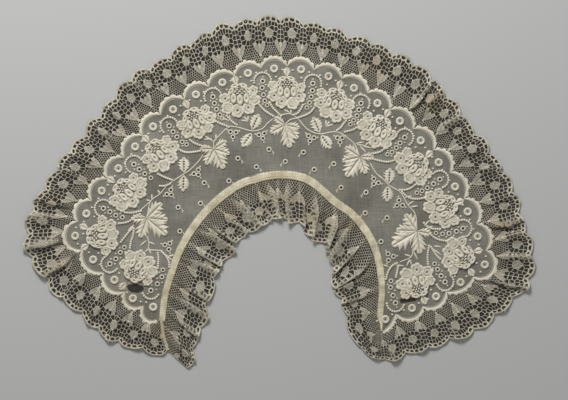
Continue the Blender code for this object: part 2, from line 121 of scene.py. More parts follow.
# The free edge of the neck lace: distance along the line it is gathered on, x, y
NECK_FREE_EDGE = (
    (0.0, -81.5, -157.5), (14.0, -77.9, -147.6), (31.0, -75.2, -134.1), (47.0, -68.9, -118.8),
    (64.0, -65.3, -99.9), (77.0, -59.0, -83.7), (95.0, -53.6, -66.6), (116.0, -42.8, -52.2),
    (133.0, -36.5, -40.5), (145.0, -28.4, -35.1), (164.0, -15.8, -28.8), (186.0, -8.6, -22.5),
    (205.0, 0.5, -20.7), (216.0, 8.6, -23.4), (227.0, 17.6, -27.9), (238.0, 23.0, -34.2),
    (249.0, 30.2, -38.7), (264.0, 37.4, -44.1), (277.0, 43.7, -48.6), (288.0, 46.4, -54.9),
    (298.0, 48.2, -62.1), (310.0, 47.3, -71.1), (324.0, 49.1, -81.0), (344.0, 52.7, -89.1),
    (363.0, 56.3, -99.0), (379.0, 59.9, -112.5), (386.0, 63.8, -123.0), (392.6, 71.3, -137.3),
)

# The seam between the two ends of the lace, at the left front point: its top and its foot, and
# its rolled line in photo pixels. Then the end of the outer lace's heading, at the right front
# point: x, y
SEAM_TOP = (-106.4, -114.6)
SEAM_FOOT = (-100.2, -141.4)
SEAM_HALF_GAP = 0.2
SEAM_ROUTE = ((160.5, 316), (162, 324), (163, 332), (165, 341), (168, 350))
OUTER_HEADING_END = (87.1, -124.1)

# Pleats of the outer lace: valley number, half width in valleys, height, crest across, and
# how far the crest leans along the lace
OUTER_PLEATS = (
    (0.6, 0.30, 2.0, 0.7, 2.5), (1.6, 0.26, 2.2, 0.6, -3.0), (2.55, 0.24, 1.8, 0.8, 2.5),
    (3.4, 0.24, 2.6, 0.6, -4.0), (4.15, 0.16, 3.4, 0.5, 5.5), (4.55, 0.20, 3.6, 0.6, 5.0),
    (4.95, 0.20, 3.2, 0.8, -4.5), (5.6, 0.26, 2.2, 0.6, 3.5), (6.5, 0.24, 2.6, 0.5, -4.5),
    (7.35, 0.26, 2.0, 0.8, 3.0), (8.2, 0.24, 2.6, 0.6, -4.0), (9.1, 0.28, 2.0, 0.5, 3.0),
    (9.9, 0.24, 2.4, 0.8, -3.5), (10.7, 0.22, 2.4, 0.6, 4.0), (11.5, 0.26, 2.2, 0.7, -3.5),
    (12.5, 0.24, 2.0, 0.6, 3.0), (13.6, 0.24, 2.2, 0.6, -3.5), (14.4, 0.28, 1.8, 0.8, 2.5),
    (15.5, 0.24, 2.0, 0.6, -3.0), (16.4, 0.26, 1.8, 0.7, 3.0), (17.4, 0.24, 2.4, 0.6, 3.5),
    (18.5, 0.26, 2.0, 0.7, -3.0), (19.45, 0.18, 3.2, 0.5, -4.5), (19.9, 0.18, 2.6, 0.8, 3.5),
    (20.7, 0.22, 2.6, 0.6, 4.5), (21.6, 0.26, 2.2, 0.7, -3.5), (22.5, 0.24, 2.4, 0.6, 4.0),
    (23.35, 0.26, 2.2, 0.8, -3.0), (24.1, 0.24, 3.4, 0.6, -6.0), (24.75, 0.20, 2.4, 0.8, 3.0),
    (25.35, 0.16, 3.4, 0.6, 5.0), (25.8, 0.16, 3.0, 0.5, -4.5), (26.4, 0.24, 2.0, 0.8, 3.0),
    (27.5, 0.28, 2.0, 0.7, -2.5), (28.5, 0.26, 2.2, 0.6, 3.0), (29.5, 0.30, 2.8, 0.7, -4.0),
    (30.4, 0.24, 2.2, 0.6, 3.0),
)

# Pleats of the neck lace: distance along, half width, height, crest across, and the lean
NECK_PLEATS = (
    (12.0, 6.0, 2.0, 1.0, 2.5), (40.0, 4.5, 2.4, 0.9, -3.0), (53.5, 5.0, 3.0, 0.5, 4.5),
    (70.0, 4.5, 2.6, 0.95, -3.5), (87.5, 5.0, 3.2, 0.5, 5.0), (102.0, 4.5, 3.0, 0.95, -4.0),
    (116.5, 5.5, 3.8, 0.45, 6.0), (130.0, 4.0, 2.8, 0.95, -3.5), (143.0, 4.5, 3.2, 0.95, 4.5),
    (158.0, 5.5, 4.0, 0.45, 6.5), (171.0, 4.0, 3.0, 0.95, -4.5), (183.0, 4.0, 3.0, 0.95, 4.0),
    (196.0, 5.5, 4.4, 0.4, 7.0), (208.0, 4.0, 3.2, 0.95, -4.5), (220.0, 5.5, 4.2, 0.4, -6.5),
    (231.0, 4.0, 3.0, 0.95, 4.0), (243.0, 6.0, 4.2, 0.5, 7.0), (256.0, 4.5, 3.4, 0.9, -5.0),
    (269.5, 5.5, 4.2, 0.45, 6.5), (281.5, 4.0, 3.2, 0.95, -4.5), (294.0, 5.5, 4.0, 0.45, -6.0),
    (308.0, 4.5, 3.0, 0.95, 4.0), (327.0, 5.0, 3.2, 0.45, 5.0), (342.0, 5.0, 2.2, 0.95, -3.0),
    (358.0, 5.0, 2.2, 0.8, 3.0), (376.0, 5.0, 1.8, 0.9, -2.0),
)

# How much of a pleat's height is left at the free edge
FREE_EDGE_SHARE = 0.7

# The share of its width at which the lace's length along the pleats is measured
MEASURED_ACROSS = 0.8

# Gathers below the heading: their height, their pitch, and the depth at which they fade
GATHER_RISE = 0.22
GATHER_PITCH = 5.6
GATHER_FADE = 6.0

# How steeply the lace rises outside the muslin, and how far inside the muslin's edge its
# heading runs
RISE_BEYOND_MUSLIN = 1.1
HEADING_INSET = 1.6

# One repeat of the lace, as charted here: it is one head wide. Depths are counted from the
# heading to the free edge
OUTER_REPEATS = 48
NECK_REPEATS = 19
REPEAT = 22.4
HEAD_VALLEY_DEPTH = 33.4
HEAD_DEPTH = 3.8
FREE_DEPTH = 35.5
LACE_THICKNESS = 0.35

# The net, how many of its rows the seam between two repeats winds through, and the spacing of
# the seam's points below them
NET_COLUMNS = 9
NET_PITCH = REPEAT / NET_COLUMNS
NET_ROW = 1.65
NET_FIRST_ROW = 1.3
NET_ROWS = 10
KNOT_RISE = 0.14
SEAM_ROWS = 7
SEAM_STEP = 1.6

# How wide the threads are: in the net and the pattern, along the heading, the seam and the free
# edge, and between the border's holes
NET_THREAD = 0.32
PATTERN_THREAD = 0.42
HEADING_THREAD = 0.38
SEAM_THREAD = 0.4
EDGE_THREAD = 1.1
BORDER_THREAD = 1.5

# The small holes of the pattern: their rows, their disorder, and how far they stay apart
PATTERN_PITCH = (2.8, 2.35)
PATTERN_START = 18.4
PATTERN_ROWS = 7
PATTERN_JITTER = 0.3
PATTERN_CLEARANCE = 2.45

# The two rows of holes along the head: how many, how far inside the free edge, and how far the
# pattern stays from the second row
EDGE_HOLES = 5
EDGE_HOLE_INSET = 2.65
SECOND_HOLES = 8
SECOND_INSET = 5.5
SECOND_CLEARANCE = 1.6

# A hole: its reach round its middle, where along the head the free edge cuts it off, the
# smallest area that is kept, and how far its lower side closes towards its middle
CELL_REACH = 3.0
HEAD_CUTS = (-1.8, -0.9, 0.0, 0.9, 1.8)
SMALLEST_HOLE = 0.5
# The walls that close a hole downwards carry painted shade
HOLE_FOOT = 0.72

# Pin holes of the cloth stitch, and how far its leaves and blossom keep other things away
PIN_PITCH = (1.45, 1.2)
PIN_HOLE = 0.22
PIN_SHARE = 0.8
OVAL_MARGIN = 0.2
SEED_MARGIN = 0.35
KNOT_MARGIN = 0.4
TONE_MARGIN = 0.3

# Picots, and the relief of the free edge
PICOTS = 16
PICOT_DEPTH = 0.4
PICOT_RISE = 0.28
FREE_EDGE_RISE = 0.12

# Where the lace stands in a fold, its own layers below show through the holes, so the painted
# shade on the holes' walls is lessened: the height from which they do, the height over which that
# grows, and how much of a hole they fill at most
OUTER_FOLD = (3.3, 1.2)
NECK_FOLD = (2.3, 2.0)
FOLD_FILL = 0.75

# Cloth-stitch leaves and blossom of a repeat: x, y, half length, half width, degrees
CLOTH_STITCH = (
    (3.1, 14.9, 4.4, 1.9, 60.0), (19.2, 15.1, 4.3, 1.9, 120.0), (11.3, 24.4, 3.8, 3.3, 0.0),
)

# Middles of the large holes beside the leaves and the blossom: x, y
LARGE_HOLES = (
    (1.45, 18.8), (1.75, 21.9), (1.5, 25.0), (21.0, 18.9), (20.6, 22.0), (20.9, 25.1), (6.0, 20.3),
    (16.2, 20.2), (5.4, 23.6), (17.1, 23.5), (9.9, 18.7), (12.7, 18.6),
)

# The relief of a leaf or a blossom: share of its size, rise, number of points
CLOTH_STITCH_RINGS = ((1.0, 0.0, 14), (0.9, 0.3, 14), (0.72, 0.14, 10), (0.3, 0.2, 5))

# Flowers, in photo pixels: x, y, the direction of the bud in degrees, then the petals with
# their places from the flower's middle, to the right and down, and their radii
FLOWERS = (
    (138, 267, -124, ((-8.0, -11.5, 5.4), (2.2, -11.5, 5.7), (11.2, -5.0, 6.3),
                      (14.2, 4.6, 6.1), (9.8, 13.6, 5.0), (-13.6, -2.6, 5.0))),
    (102, 236, 180, ((0.5, -16.0, 4.8), (9.0, -11.0, 5.8), (10.8, -2.0, 6.3),
                     (10.4, 8.0, 6.0), (4.0, 15.0, 5.1))),
    (128.5, 192.5, 143, ((5.5, -15.0, 4.8), (13.0, -9.5, 6.0), (12.5, 0.0, 6.0),
                         (4.5, 9.5, 6.3), (-6.5, 13.5, 6.3), (-14.0, 8.5, 5.8))),
    (160, 154, 132, ((6.5, -14.0, 4.8), (13.5, -7.5, 6.0), (11.8, 3.5, 6.3),
                     (4.2, 12.0, 6.3), (-6.5, 13.0, 6.2), (-13.5, 5.5, 5.2))),
    (196, 123, 115, ((9.5, -13.5, 4.8), (14.5, -5.0, 6.2), (11.6, 4.6, 6.0),
                     (3.0, 10.0, 6.4), (-8.5, 9.6, 6.2), (-14.5, 2.5, 5.0))),
    (240, 99, 93, ((13.5, -8.5, 4.8), (15.0, 1.0, 5.9), (9.0, 9.5, 6.2),
                   (-2.5, 12.5, 6.6), (-12.5, 9.5, 6.2), (-15.5, 0.0, 5.6))),
    (287, 92, 90, ((-14.5, -6.5, 4.8), (-13.5, 4.0, 6.0), (-5.5, 10.5, 6.2),
                   (5.8, 11.6, 6.4), (12.8, 5.0, 6.2), (14.0, -4.0, 4.8))),
    (335, 104, 80, ((-13.8, -11.0, 5.0), (-15.0, -1.0, 6.2), (-9.5, 8.2, 6.4),
                    (1.3, 12.7, 6.4), (11.5, 10.0, 6.2), (14.5, 1.0, 5.8))),
    (378, 131, 62, ((-10.5, -15.0, 4.9), (-15.5, -6.0, 6.0), (-12.0, 4.2, 6.2),
                    (-2.8, 11.3, 6.4), (8.0, 12.0, 6.2), (14.0, 4.0, 5.2))),
    (414, 168, 45, ((-7.0, -16.0, 4.8), (-14.0, -10.0, 6.0), (-12.2, 0.5, 6.2),
                    (-4.3, 9.8, 6.3), (6.8, 12.2, 6.2), (13.5, 6.0, 5.0))),
    (442, 208, 20, ((-3.5, -15.0, 4.8), (-12.0, -11.5, 5.8), (-13.0, -0.8, 6.2),
                    (-7.0, 10.0, 6.2), (3.2, 14.8, 6.2), (12.4, 12.5, 5.2))),
    (460, 254, -45, ((2.2, -13.2, 4.8), (-7.5, -11.0, 6.2), (-11.5, -2.5, 6.2),
                     (-12.0, 8.0, 6.6), (-7.2, 16.0, 5.2))),
    (415.5, 282, -72, ((-9.5, -8.0, 6.2), (1.3, -12.8, 6.4), (12.0, -10.3, 6.0),
                       (14.8, -1.5, 5.0), (-13.8, 2.3, 6.2), (-10.0, 12.0, 5.4))),
)
# Ovals of a flower's heart, in pixels: x, y, half width, half length, tilt in degrees
HEART_OVALS = (
    (-4.5, 13.3, 4.6, 2.3, 14), (4.1, 13.2, 4.6, 2.3, -18), (-2.6, 11.2, 2.2, 0.9, 6),
    (3.4, 11.0, 2.2, 0.9, -12), (-8.5, 8.4, 2.2, 4.5, -38), (8.5, 8.1, 2.2, 4.6, 42),
    (-6.3, 6.4, 0.9, 3.0, -40), (6.9, 5.3, 0.9, 3.6, 46), (-10.8, 3.2, 1.6, 3.9, -8),
    (10.8, 2.7, 1.6, 3.9, 10), (-6.4, 0.6, 2.95, 5.3, -3), (6.5, 0.0, 2.95, 5.3, 4),
    (0.0, -1.0, 3.25, 5.7, 0),
)
# Knots of a flower's heart, in pixels: x, y
HEART_KNOTS = (
    (-2.4, 9.3), (0.3, 9.7), (2.8, 9.1), (-3.7, 7.2), (-1.2, 7.2), (1.5, 7.2), (4.0, 6.8),
    (-2.6, 5.0), (0.1, 5.0), (2.7, 4.8),
)
KNOT_RADIUS = 0.88

# Bars that take the place of the knots in every other flower: as the ovals
HEART_BARS = (
    (-2.7, 9.2, 2.1, 0.8, 10), (2.5, 9.3, 2.1, 0.8, -10), (-4.2, 7.4, 1.7, 0.75, 24),
    (0.0, 7.5, 2.0, 0.8, 0), (4.2, 7.2, 1.7, 0.75, -24), (-2.2, 5.5, 2.0, 0.75, 12),
    (2.3, 5.3, 2.0, 0.75, -12),
)

# Wheels, in photo pixels
WHEELS = (
    (153.3, 307), (133, 298.5), (114.6, 280), (93.3, 259.7), (75.4, 236), (86.6, 213.8),
    (101.9, 191), (118.6, 168.6), (135.3, 146.8), (153.2, 126.8), (173.2, 109.7), (196, 94.8),
    (222.5, 82.7), (248, 73.4), (274.2, 68.8), (301.2, 69.7), (328.5, 76.6), (354, 88.3),
    (377.4, 103.5), (399.9, 121.2), (420.7, 140.7), (438.6, 162.6), (455, 186.8), (467.6, 211.7),
    (477.6, 236.5), (484.7, 264.7), (460.5, 282.4), (436, 296.5), (412, 308.2), (385.3, 319.3),
)

# Satin dots beside a wheel: how far along the edge, and how far inwards
WHEEL_DOTS = ((-7.4, 1.6), (7.4, 1.4), (1.2, 7.4))

# Buds above the flowers, in photo pixels
BUDS = (
    (287, 72), (235.3, 80.4), (186.5, 104.5), (146, 139), (111, 180), (84, 227), (85, 247),
    (123, 286), (340, 85), (387.5, 113.5), (429, 154.5), (459.5, 202), (478, 251), (471, 272),
    (424, 300),
)

# Vine leaves, in photo pixels: the middle of the veins, then the tips of the five lobes
VINE_LEAVES = (
    ((285, 125), ((274, 117), (270, 133), (290, 148), (298, 139), (300, 128))),
    ((360, 157), ((345, 147), (342, 161), (346, 177), (366, 174), (374, 157))),
    ((417, 231), ((405, 214), (396, 230), (392, 246), (420, 254), (432, 234))),
    ((147, 218), ((162, 203), (168, 220), (167, 235), (140, 238), (131, 219))),
    ((214, 149), ((227, 141), (230, 154), (224, 169), (206, 165), (200, 149))),
)

# Small leaves with a ladder of holes, in photo pixels: base x, y, tip x, y
SMALL_LEAVES = (
    (184, 173, 184, 157), (184, 175, 183, 192), (252, 130, 259, 114), (252, 133, 242, 147),
    (320, 133, 313, 117), (321, 135, 331, 149), (389, 184, 390, 168), (388, 186, 387, 202),
)

# Holes of a small leaf's ladder: their places along it and their radius
LADDER_SHARES = (0.20, 0.37, 0.54, 0.70)
LADDER_EYE = 0.68

# Eyelets in threes, in photo pixels
TRIPLE_EYELETS = (
    ((230.5, 132), (236, 132.5), (233, 137)), ((259, 135), (264.5, 133.5), (263, 138.5)),
    ((308.5, 136), (314, 138), (310, 141)), ((337.5, 138), (342.3, 138), (340, 142.5)),
    ((198.5, 170), (194, 174), (198.5, 175)), ((171, 190), (167, 194.5), (171.5, 195)),
    ((373.8, 179), (373.8, 184), (378.5, 183)), ((397, 205.5), (402.5, 205.5), (399, 200.5)),
    ((165, 245), (170, 243.5), (169, 249.5)), ((388, 254), (393.5, 256.5), (388.5, 260.5)),
)

# Eyelets that stand alone on the plain muslin, in photo pixels
SINGLE_EYELETS = (
    (269, 149.6), (238, 158.5), (256.5, 167), (229, 181), (204.4, 183), (200.6, 203.5),
    (178.3, 207.5), (180, 231.3), (303.5, 152.4), (285.4, 161.7), (314.2, 169.7), (333.8, 164),
    (341.2, 187.7), (366, 192.5), (365.2, 213.2), (387, 218), (381, 241.7),
)

# The stitched tail of such an eyelet and its twig: x towards the collar's middle line, y
EYELET_TAIL = ((2.6, -1.0), (3.7, -2.4), (3.8, -4.6))
EYELET_TWIG = ((3.7, -3.8), (4.4, -3.3), (5.0, -2.6))

# Radii of an eyelet's ring and its hole, in pixels: in threes, alone, and in a loop, where the
# first ring is followed by what each next one loses and by the hole's share of the ring
TRIPLE_EYELET = (2.6, 1.15)
SINGLE_EYELET = (2.7, 1.2)
LOOP_EYELET = (2.8, 0.12, 0.44)

# Beaded loops between the flowers, in photo pixels: the eyelets from the arch inwards,
# then the two bead lines that run down to the loop's foot
LOOPS = (
    (((151, 290.5), (157.5, 284), (162, 277), (163, 270)),
     ((158, 268), (158.5, 258), (158, 253)), ((169.5, 267), (169, 262), (166, 256), (162, 252))),
    (((110, 264), (116, 259), (120.5, 252.5), (124.5, 247.5)),
     ((121, 242), (125, 237), (129, 232), (133, 228)),
     ((130, 248), (131, 242), (133, 236), (134, 229))),
    (((103.5, 208.5), (110, 212), (116, 215.5), (122.5, 217.5)),
     ((125, 212.5), (131, 213), (141, 211)), ((119, 223.5), (124, 223), (129, 221.5), (140, 214))),
    (((134, 164.5), (139.5, 169.5), (145, 174), (151, 178)),
     ((158, 174), (164, 177), (172, 180)), ((160, 186), (165, 186), (170, 184))),
    (((169.3, 126), (173.2, 132), (177, 137), (182.3, 142), (186.7, 144.7)),
     ((190, 140), (194, 143), (199, 145), (204, 146.5)),
     ((179, 149.5), (184, 152), (190, 152.5), (200, 151))),
    (((213, 97), (214.5, 103.5), (216.5, 109.5), (220, 115), (222.5, 118.5)),
     ((216, 121.5), (221, 124), (229, 127)), ((227, 116), (230, 119.5), (233, 122.5), (237, 125))),
    (((262.7, 81.4), (262.2, 88), (263.6, 95), (264.8, 101), (267.3, 105.3)),
     ((259.5, 105), (263, 109), (268, 113), (273, 116)),
     ((270, 103), (273, 108), (277, 112), (281, 116))),
    (((312.8, 83.6), (312.5, 90.8), (311.2, 97), (309.6, 102.9), (306.9, 107.8)),
     ((303, 105), (301, 109), (298, 113), (294, 115)),
     ((314, 108), (311, 112), (306, 115), (298, 118))),
    (((361, 103.5), (359, 110), (357, 116), (353.5, 120.5), (350.5, 124.5)),
     ((346, 121), (343, 124.5), (341, 127.5), (337, 130.5)),
     ((356, 128), (353, 130), (345, 132))),
    (((404.7, 137.7), (400, 143.3), (396.3, 148), (392, 152.3), (387.5, 154.5)),
     ((384, 149), (380, 152), (371, 154)),
     ((395, 160), (391, 161.5), (386, 162), (376, 160), (373, 159))),
    (((439.8, 179.5), (433.5, 184), (427.3, 188), (422, 191), (416.8, 192.8)),
     ((415, 185), (411, 188), (405, 190), (400, 190)),
     ((424, 198), (418, 199), (411, 198.5), (406, 196), (402, 192))),
    (((463, 228.5), (456.5, 231.5), (449, 233.5), (442.5, 234), (436, 233)),
     ((440, 229), (434, 229), (428, 227), (424, 223)),
     ((446, 241), (440, 240), (435, 238), (430, 234))),
    (((445, 282), (441, 276), (437.5, 269.5), (434.5, 264)),
     ((428, 264), (427.5, 258), (428, 252), (429, 246)),
     ((440, 259), (437, 256), (434, 252), (431, 247))),
    (((395.5, 303), (393, 295.5), (390.5, 287.5), (391, 281)),
     ((386, 279), (388, 272), (392, 266), (397, 263)), ((396, 277), (397, 272), (398, 267))),
)

# The arch of a loop: its radius in pixels and half its turn in degrees, then the pitch and the
# radius of the beads in pixels
LOOP_RADIUS = 8.6
LOOP_HALF_TURN = 105.0
BEAD_PITCH = 2.25
BEAD_RADIUS = 1.32

# Stems, in photo pixels
STEMS = (
    ((281, 115), (290, 114), (298, 119), (304, 126), (310, 131), (320, 134), (333, 132),
     (340, 133), (350, 140), (355, 145), (359, 155)),
    ((298, 118), (290, 120), (285, 125)),
    ((273, 119), (268, 123), (262, 129), (252, 131), (236, 127), (229, 127), (222, 133),
     (214, 142), (214, 149)),
    ((203, 155), (199, 161), (190, 170), (184, 174), (172, 182), (166, 187), (160, 194),
     (151, 201), (148, 212), (147, 218)),
    ((141, 210), (151, 201)),
    ((370, 163), (376, 173), (384, 180), (390, 186), (400, 192), (408, 205), (415, 214),
     (417, 229)),
    ((147, 236), (149, 243), (149, 249), (155, 250.3), (162, 250.5)),
    ((414, 236), (413, 250), (411, 257), (400, 262)),
)

# Short sprigs beside the stems and below the flowers, in photo pixels: from x, y, to x, y
SPRIGS = (
    (290, 113, 284, 109.5), (291, 114, 291, 108.5), (355.5, 144, 364.5, 141.8),
    (357, 144.6, 365, 145.9), (363, 146.3, 372, 148.2), (365, 145.8, 369.5, 141.5),
    (360, 146, 366, 152.5), (151, 201, 146, 200), (152, 200, 152, 194), (160, 194, 158, 190),
    (214, 142, 205, 136), (216, 141, 216, 134), (212, 139, 204, 139.5), (222, 118, 229, 121),
    (229, 121, 230, 115), (248, 121.5, 241, 120.3), (248, 121.5, 243.8, 116.5),
    (248, 121.5, 248.2, 115.5), (326, 126.5, 326, 119.8), (326, 126.5, 333, 124.6),
    (327, 125, 329.5, 121.5), (384, 180, 378, 175), (408, 205, 414, 201), (411, 207, 418, 206),
    (404, 198, 412, 196), (146.5, 240.5, 140.2, 246), (149.3, 242, 155, 244.6),
    (149, 248.5, 145.3, 252), (149, 248.5, 151, 254), (163, 253, 172, 260), (168, 256.5, 174, 255),
    (388.5, 266.8, 383, 264.9), (411, 256.5, 404.5, 254.5), (413.5, 251.5, 417.5, 259.5),
    (409.5, 259.5, 406.8, 266), (409.8, 259.5, 411.6, 265), (434, 246, 441, 247),
    (433, 249, 441, 255), (128, 231, 134, 225), (424, 226, 430, 220), (425, 229, 433, 226),
    (395, 265, 404, 266),
)

# Two rips in the muslin: x, y
RIPS = (
    ((-137.5, -83.0), (-135.5, -81.3), (-129.2, -81.0), (-122.4, -82.8), (-122.0, -86.4),
     (-127.4, -89.1), (-133.7, -88.2), (-135.8, -86.6)),
    ((107.8, -95.2), (110.5, -93.4), (116.0, -93.0), (122.4, -93.4), (122.6, -96.4),
     (114.5, -97.6), (109.2, -98.4)),
)

# Shares of a rip: how wide it still is at the cloth's lower side, and how wide the place is
# where it leaves no dots
# The walls that close a rip downwards carry painted shade
RIP_FOOT = 0.15
RIP_REACH = 1.15

# Creases of the muslin, in photo pixels: from x, y, to x, y, then half width and rise
CREASES = (
    (236, 152, 256, 186, 3.2, 0.55), (184, 181, 206, 198, 3.0, 0.45),
    (262, 150, 300, 172, 4.0, -0.35), (318, 150, 338, 196, 3.0, 0.40),
    (168, 222, 196, 226, 2.8, 0.40), (376, 196, 384, 246, 3.0, 0.35),
    (216, 172, 232, 156, 2.6, -0.30), (396, 236, 372, 262, 2.6, 0.30),
)

CREASE_GAIN = 1.4

# Aged places, in photo pixels: x, y, radius, strength
STAINS = (
    (275, 175, 7, 0.4), (353, 222, 6, 0.6), (163, 330, 12, 0.7), (50, 198, 11, 0.6),
    (375, 65, 12, 0.5), (435, 104, 10, 0.8), (268, 197, 12, 0.5), (230, 212, 8, 0.5),
    (290, 197, 8, 0.4), (311, 218, 11, 0.5), (346, 224, 9, 0.5), (130, 288, 14, 0.4),
    (405, 300, 12, 0.4), (341, 188, 4, 0.7), (365, 213, 4, 0.7), (500, 225, 10, 0.5),
    (180, 262, 9, 0.4), (176, 292, 9, 0.4), (130, 52, 12, 0.4), (60, 262, 9, 0.4),
)

# Profiles of round forms: share of the radius, share of the height, tone. A tone at a form's
# foot, in its grooves and in its pit is painted shade, and past 1 it is deeper painted shade; in
# the inner discs of petals and wheels it is partly the cloth's grey showing through the thread.
PETAL_PROFILE = (
    (1.0, -0.1, 1.0), (0.985, 0.4, 0.25), (0.93, 0.85, 0.0), (0.84, 1.0, 0.0), (0.72, 0.92, 0.0),
    (0.61, 0.55, 0.5), (0.53, 0.42, 0.85), (0.46, 0.6, 0.35), (0.37, 0.74, 0.1),
    (0.26, 0.68, 0.15), (0.18, 0.5, 0.35),
)
PETAL_PIT = ((0.11, 0.25, 0.8), (0.07, -0.05, 1.7))
PETAL_KNOT = ((0.14, 0.5, 0.3), (0.08, 0.62, 0.1))
OVAL_PROFILE = (
    (1.0, -0.1, 0.9), (0.98, 0.45, 0.2), (0.88, 0.92, 0.0), (0.68, 1.0, 0.0), (0.36, 0.9, 0.0),
    (0.2, 0.6, 0.25), (0.1, 0.25, 1.15),
)
PAD_PROFILE = ((1.0, -0.1, 0.5), (0.9, 0.6, 0.0), (0.62, 0.92, 0.0), (0.3, 1.0, 0.0))
KNOT_PROFILE = ((1.0, 0.3, 1.0), (0.9, 0.7, 0.1), (0.6, 0.95, 0.0), (0.3, 1.0, 0.0))
# The ground under a heart is toned to the cloth's grey, with a little painted shade in its middle
GROUND_PROFILE = ((1.0, -0.1, 0.9), (0.92, 0.8, 0.9), (0.6, 1.0, 1.1), (0.3, 1.0, 1.1))
WHEEL_PROFILE = (
    (1.0, -0.1, 0.8), (0.97, 0.4, 0.2), (0.88, 0.9, 0.0), (0.72, 1.0, 0.0), (0.58, 0.95, 0.0),
    (0.5, 0.7, 0.1), (0.42, 0.35, 0.6), (0.35, 0.3, 0.6), (0.29, 0.45, 0.3), (0.21, 0.35, 0.6),
    (0.165, -0.4, 1.0),
)

# In pixels: how far a petal is moved towards the heart, which its length gains too, and how much
# wider it is made
PETAL_DRAW = 0.8
PETAL_GROWTH = 0.35

# A petal's inner groove lies between these shares of its radius
GROOVE = (0.5, 0.62)

# A leaf: rows of points along it, then the reach and the height of a tooth at its phases
LEAF_ROWS = 49
TOOTH_PHASES = (0.0, 0.45, 0.8, 1.0)
TOOTH_REACHES = (0.72, 0.92, 1.14, 0.72)
TOOTH_SWELLS = (0.6, 1.0, 0.95, 0.6)

# The worked edge: share of its width, share of its height, tone. The tones at its feet and in
# the groove inside its band are painted shade.
BORDER_PROFILE = (
    (-0.05, -0.35, 0.8), (-0.02, 0.3, 0.3), (0.12, 0.85, 0.0), (0.32, 1.0, 0.0),
    (0.56, 0.92, 0.0), (0.72, 0.5, 0.1), (0.79, 0.08, 1.0), (0.87, 0.08, 1.0),
    (0.92, 0.42, 0.1), (0.98, 0.36, 0.2), (1.02, -0.1, 0.9),
)

# The section of the binding, from its muslin side over the top and back below: share of its
# width, height
BAND_SECTION = (
    (0.0, 1.25), (0.05, 1.55), (0.14, 1.75), (0.35, 1.68), (0.6, 1.72), (0.69, 1.74),
    (0.745, 1.45), (0.80, 1.76), (0.88, 1.8), (0.97, 1.45), (1.0, 0.95), (0.95, 0.35),
    (0.8, 0.12), (0.4, 0.1), (0.0, 0.15), (0.0, 0.45), (0.4, 0.4), (0.78, 0.45), (0.88, 0.8),
    (0.87, 1.15), (0.78, 1.3), (0.5, 1.3), (0.25, 1.3), (0.1, 1.2), (0.0, 1.05),
)


def from_photo(x, y):
    """Millimetres in the part's frame from a place in the photograph."""
    return ((x - ORIGIN_PIXEL[0]) * MM_PER_PIXEL, (ORIGIN_PIXEL[1] - y) * MM_PER_PIXEL)


def photo_points(rows):
    """An array of millimetre points from rows of photo pixels."""
    return np.array([from_photo(*row) for row in rows])


def running_length(path):
    """The distance along a path at each of its points."""
    steps = np.linalg.norm(np.diff(path, axis=0), axis=1)
    return np.concatenate([[0.0], np.cumsum(steps)])


def smooth_curve(table, places):
    """Points at the given positions on a smooth curve through rows of (position, x, y)."""
    rows = np.array(table, float)
    knots = rows[:, 0]
    points = rows[:, 1:]
    slopes = np.empty_like(points)
    slopes[1:-1] = (points[2:] - points[:-2]) / (knots[2:] - knots[:-2])[:, None]
    slopes[0] = (points[1] - points[0]) / (knots[1] - knots[0])
    slopes[-1] = (points[-1] - points[-2]) / (knots[-1] - knots[-2])
    span = np.clip(np.searchsorted(knots, places) - 1, 0, len(knots) - 2)
    width = (knots[span + 1] - knots[span])[:, None]
    part = np.clip((places - knots[span])[:, None] / width, 0.0, 1.0)
    rise = part * part * (3.0 - 2.0 * part)
    leave = part * (1.0 - part) ** 2 * width
    arrive = part * part * (part - 1.0) * width
    curve = points[span] * (1.0 - rise) + points[span + 1] * rise
    return curve + slopes[span] * leave + slopes[span + 1] * arrive


def through(points, spacing=None, count=None):
    """An even smooth path through a few points, of a given spacing or number of points."""
    points = np.array(points, float)
    lengths = running_length(points)
    if count is None:
        count = max(2, int(round(lengths[-1] / spacing)) + 1)
    table = np.column_stack([lengths, points])
    return smooth_curve(table, np.linspace(0.0, lengths[-1], count))


def unit(vector):
    """The vector of length 1 in the same direction."""
    return vector / np.linalg.norm(vector)


def left_units(steps):
    """For each row, the vector of length 1 that points to its left."""
    sides = np.column_stack([-steps[:, 1], steps[:, 0]])
    return sides / np.linalg.norm(sides, axis=1)[:, None]


def placed(centre, forward, sideways, turn):
    """The place forward and to the left of a centre in a direction given in radians: x, y."""
    return (centre[0] + forward * math.cos(turn) - sideways * math.sin(turn),
            centre[1] + forward * math.sin(turn) + sideways * math.cos(turn))


def between(start, end, shares):
    """Points at the given shares of the way from one point to another."""
    start = np.array(start, float)
    return start + np.asarray(shares)[:, None] * (np.array(end, float) - start)


def points_at(places, knots, path):
    """Points at the given places on a path whose own points are at the knots."""
    return np.column_stack([np.interp(places, knots, path[:, axis]) for axis in (0, 1)])


def side_vectors(path, stretch_limit=3.0):
    """At each point of a path, the vector that moves it one unit to its left."""
    sides = left_units(np.diff(path, axis=0))
    before = np.vstack([sides[:1], sides])
    after = np.vstack([sides, sides[-1:]])
    middle = before + after
    middle /= np.linalg.norm(middle, axis=1)[:, None]
    share = np.maximum(np.sum(middle * before, axis=1), 1.0 / stretch_limit)
    return middle / share[:, None]


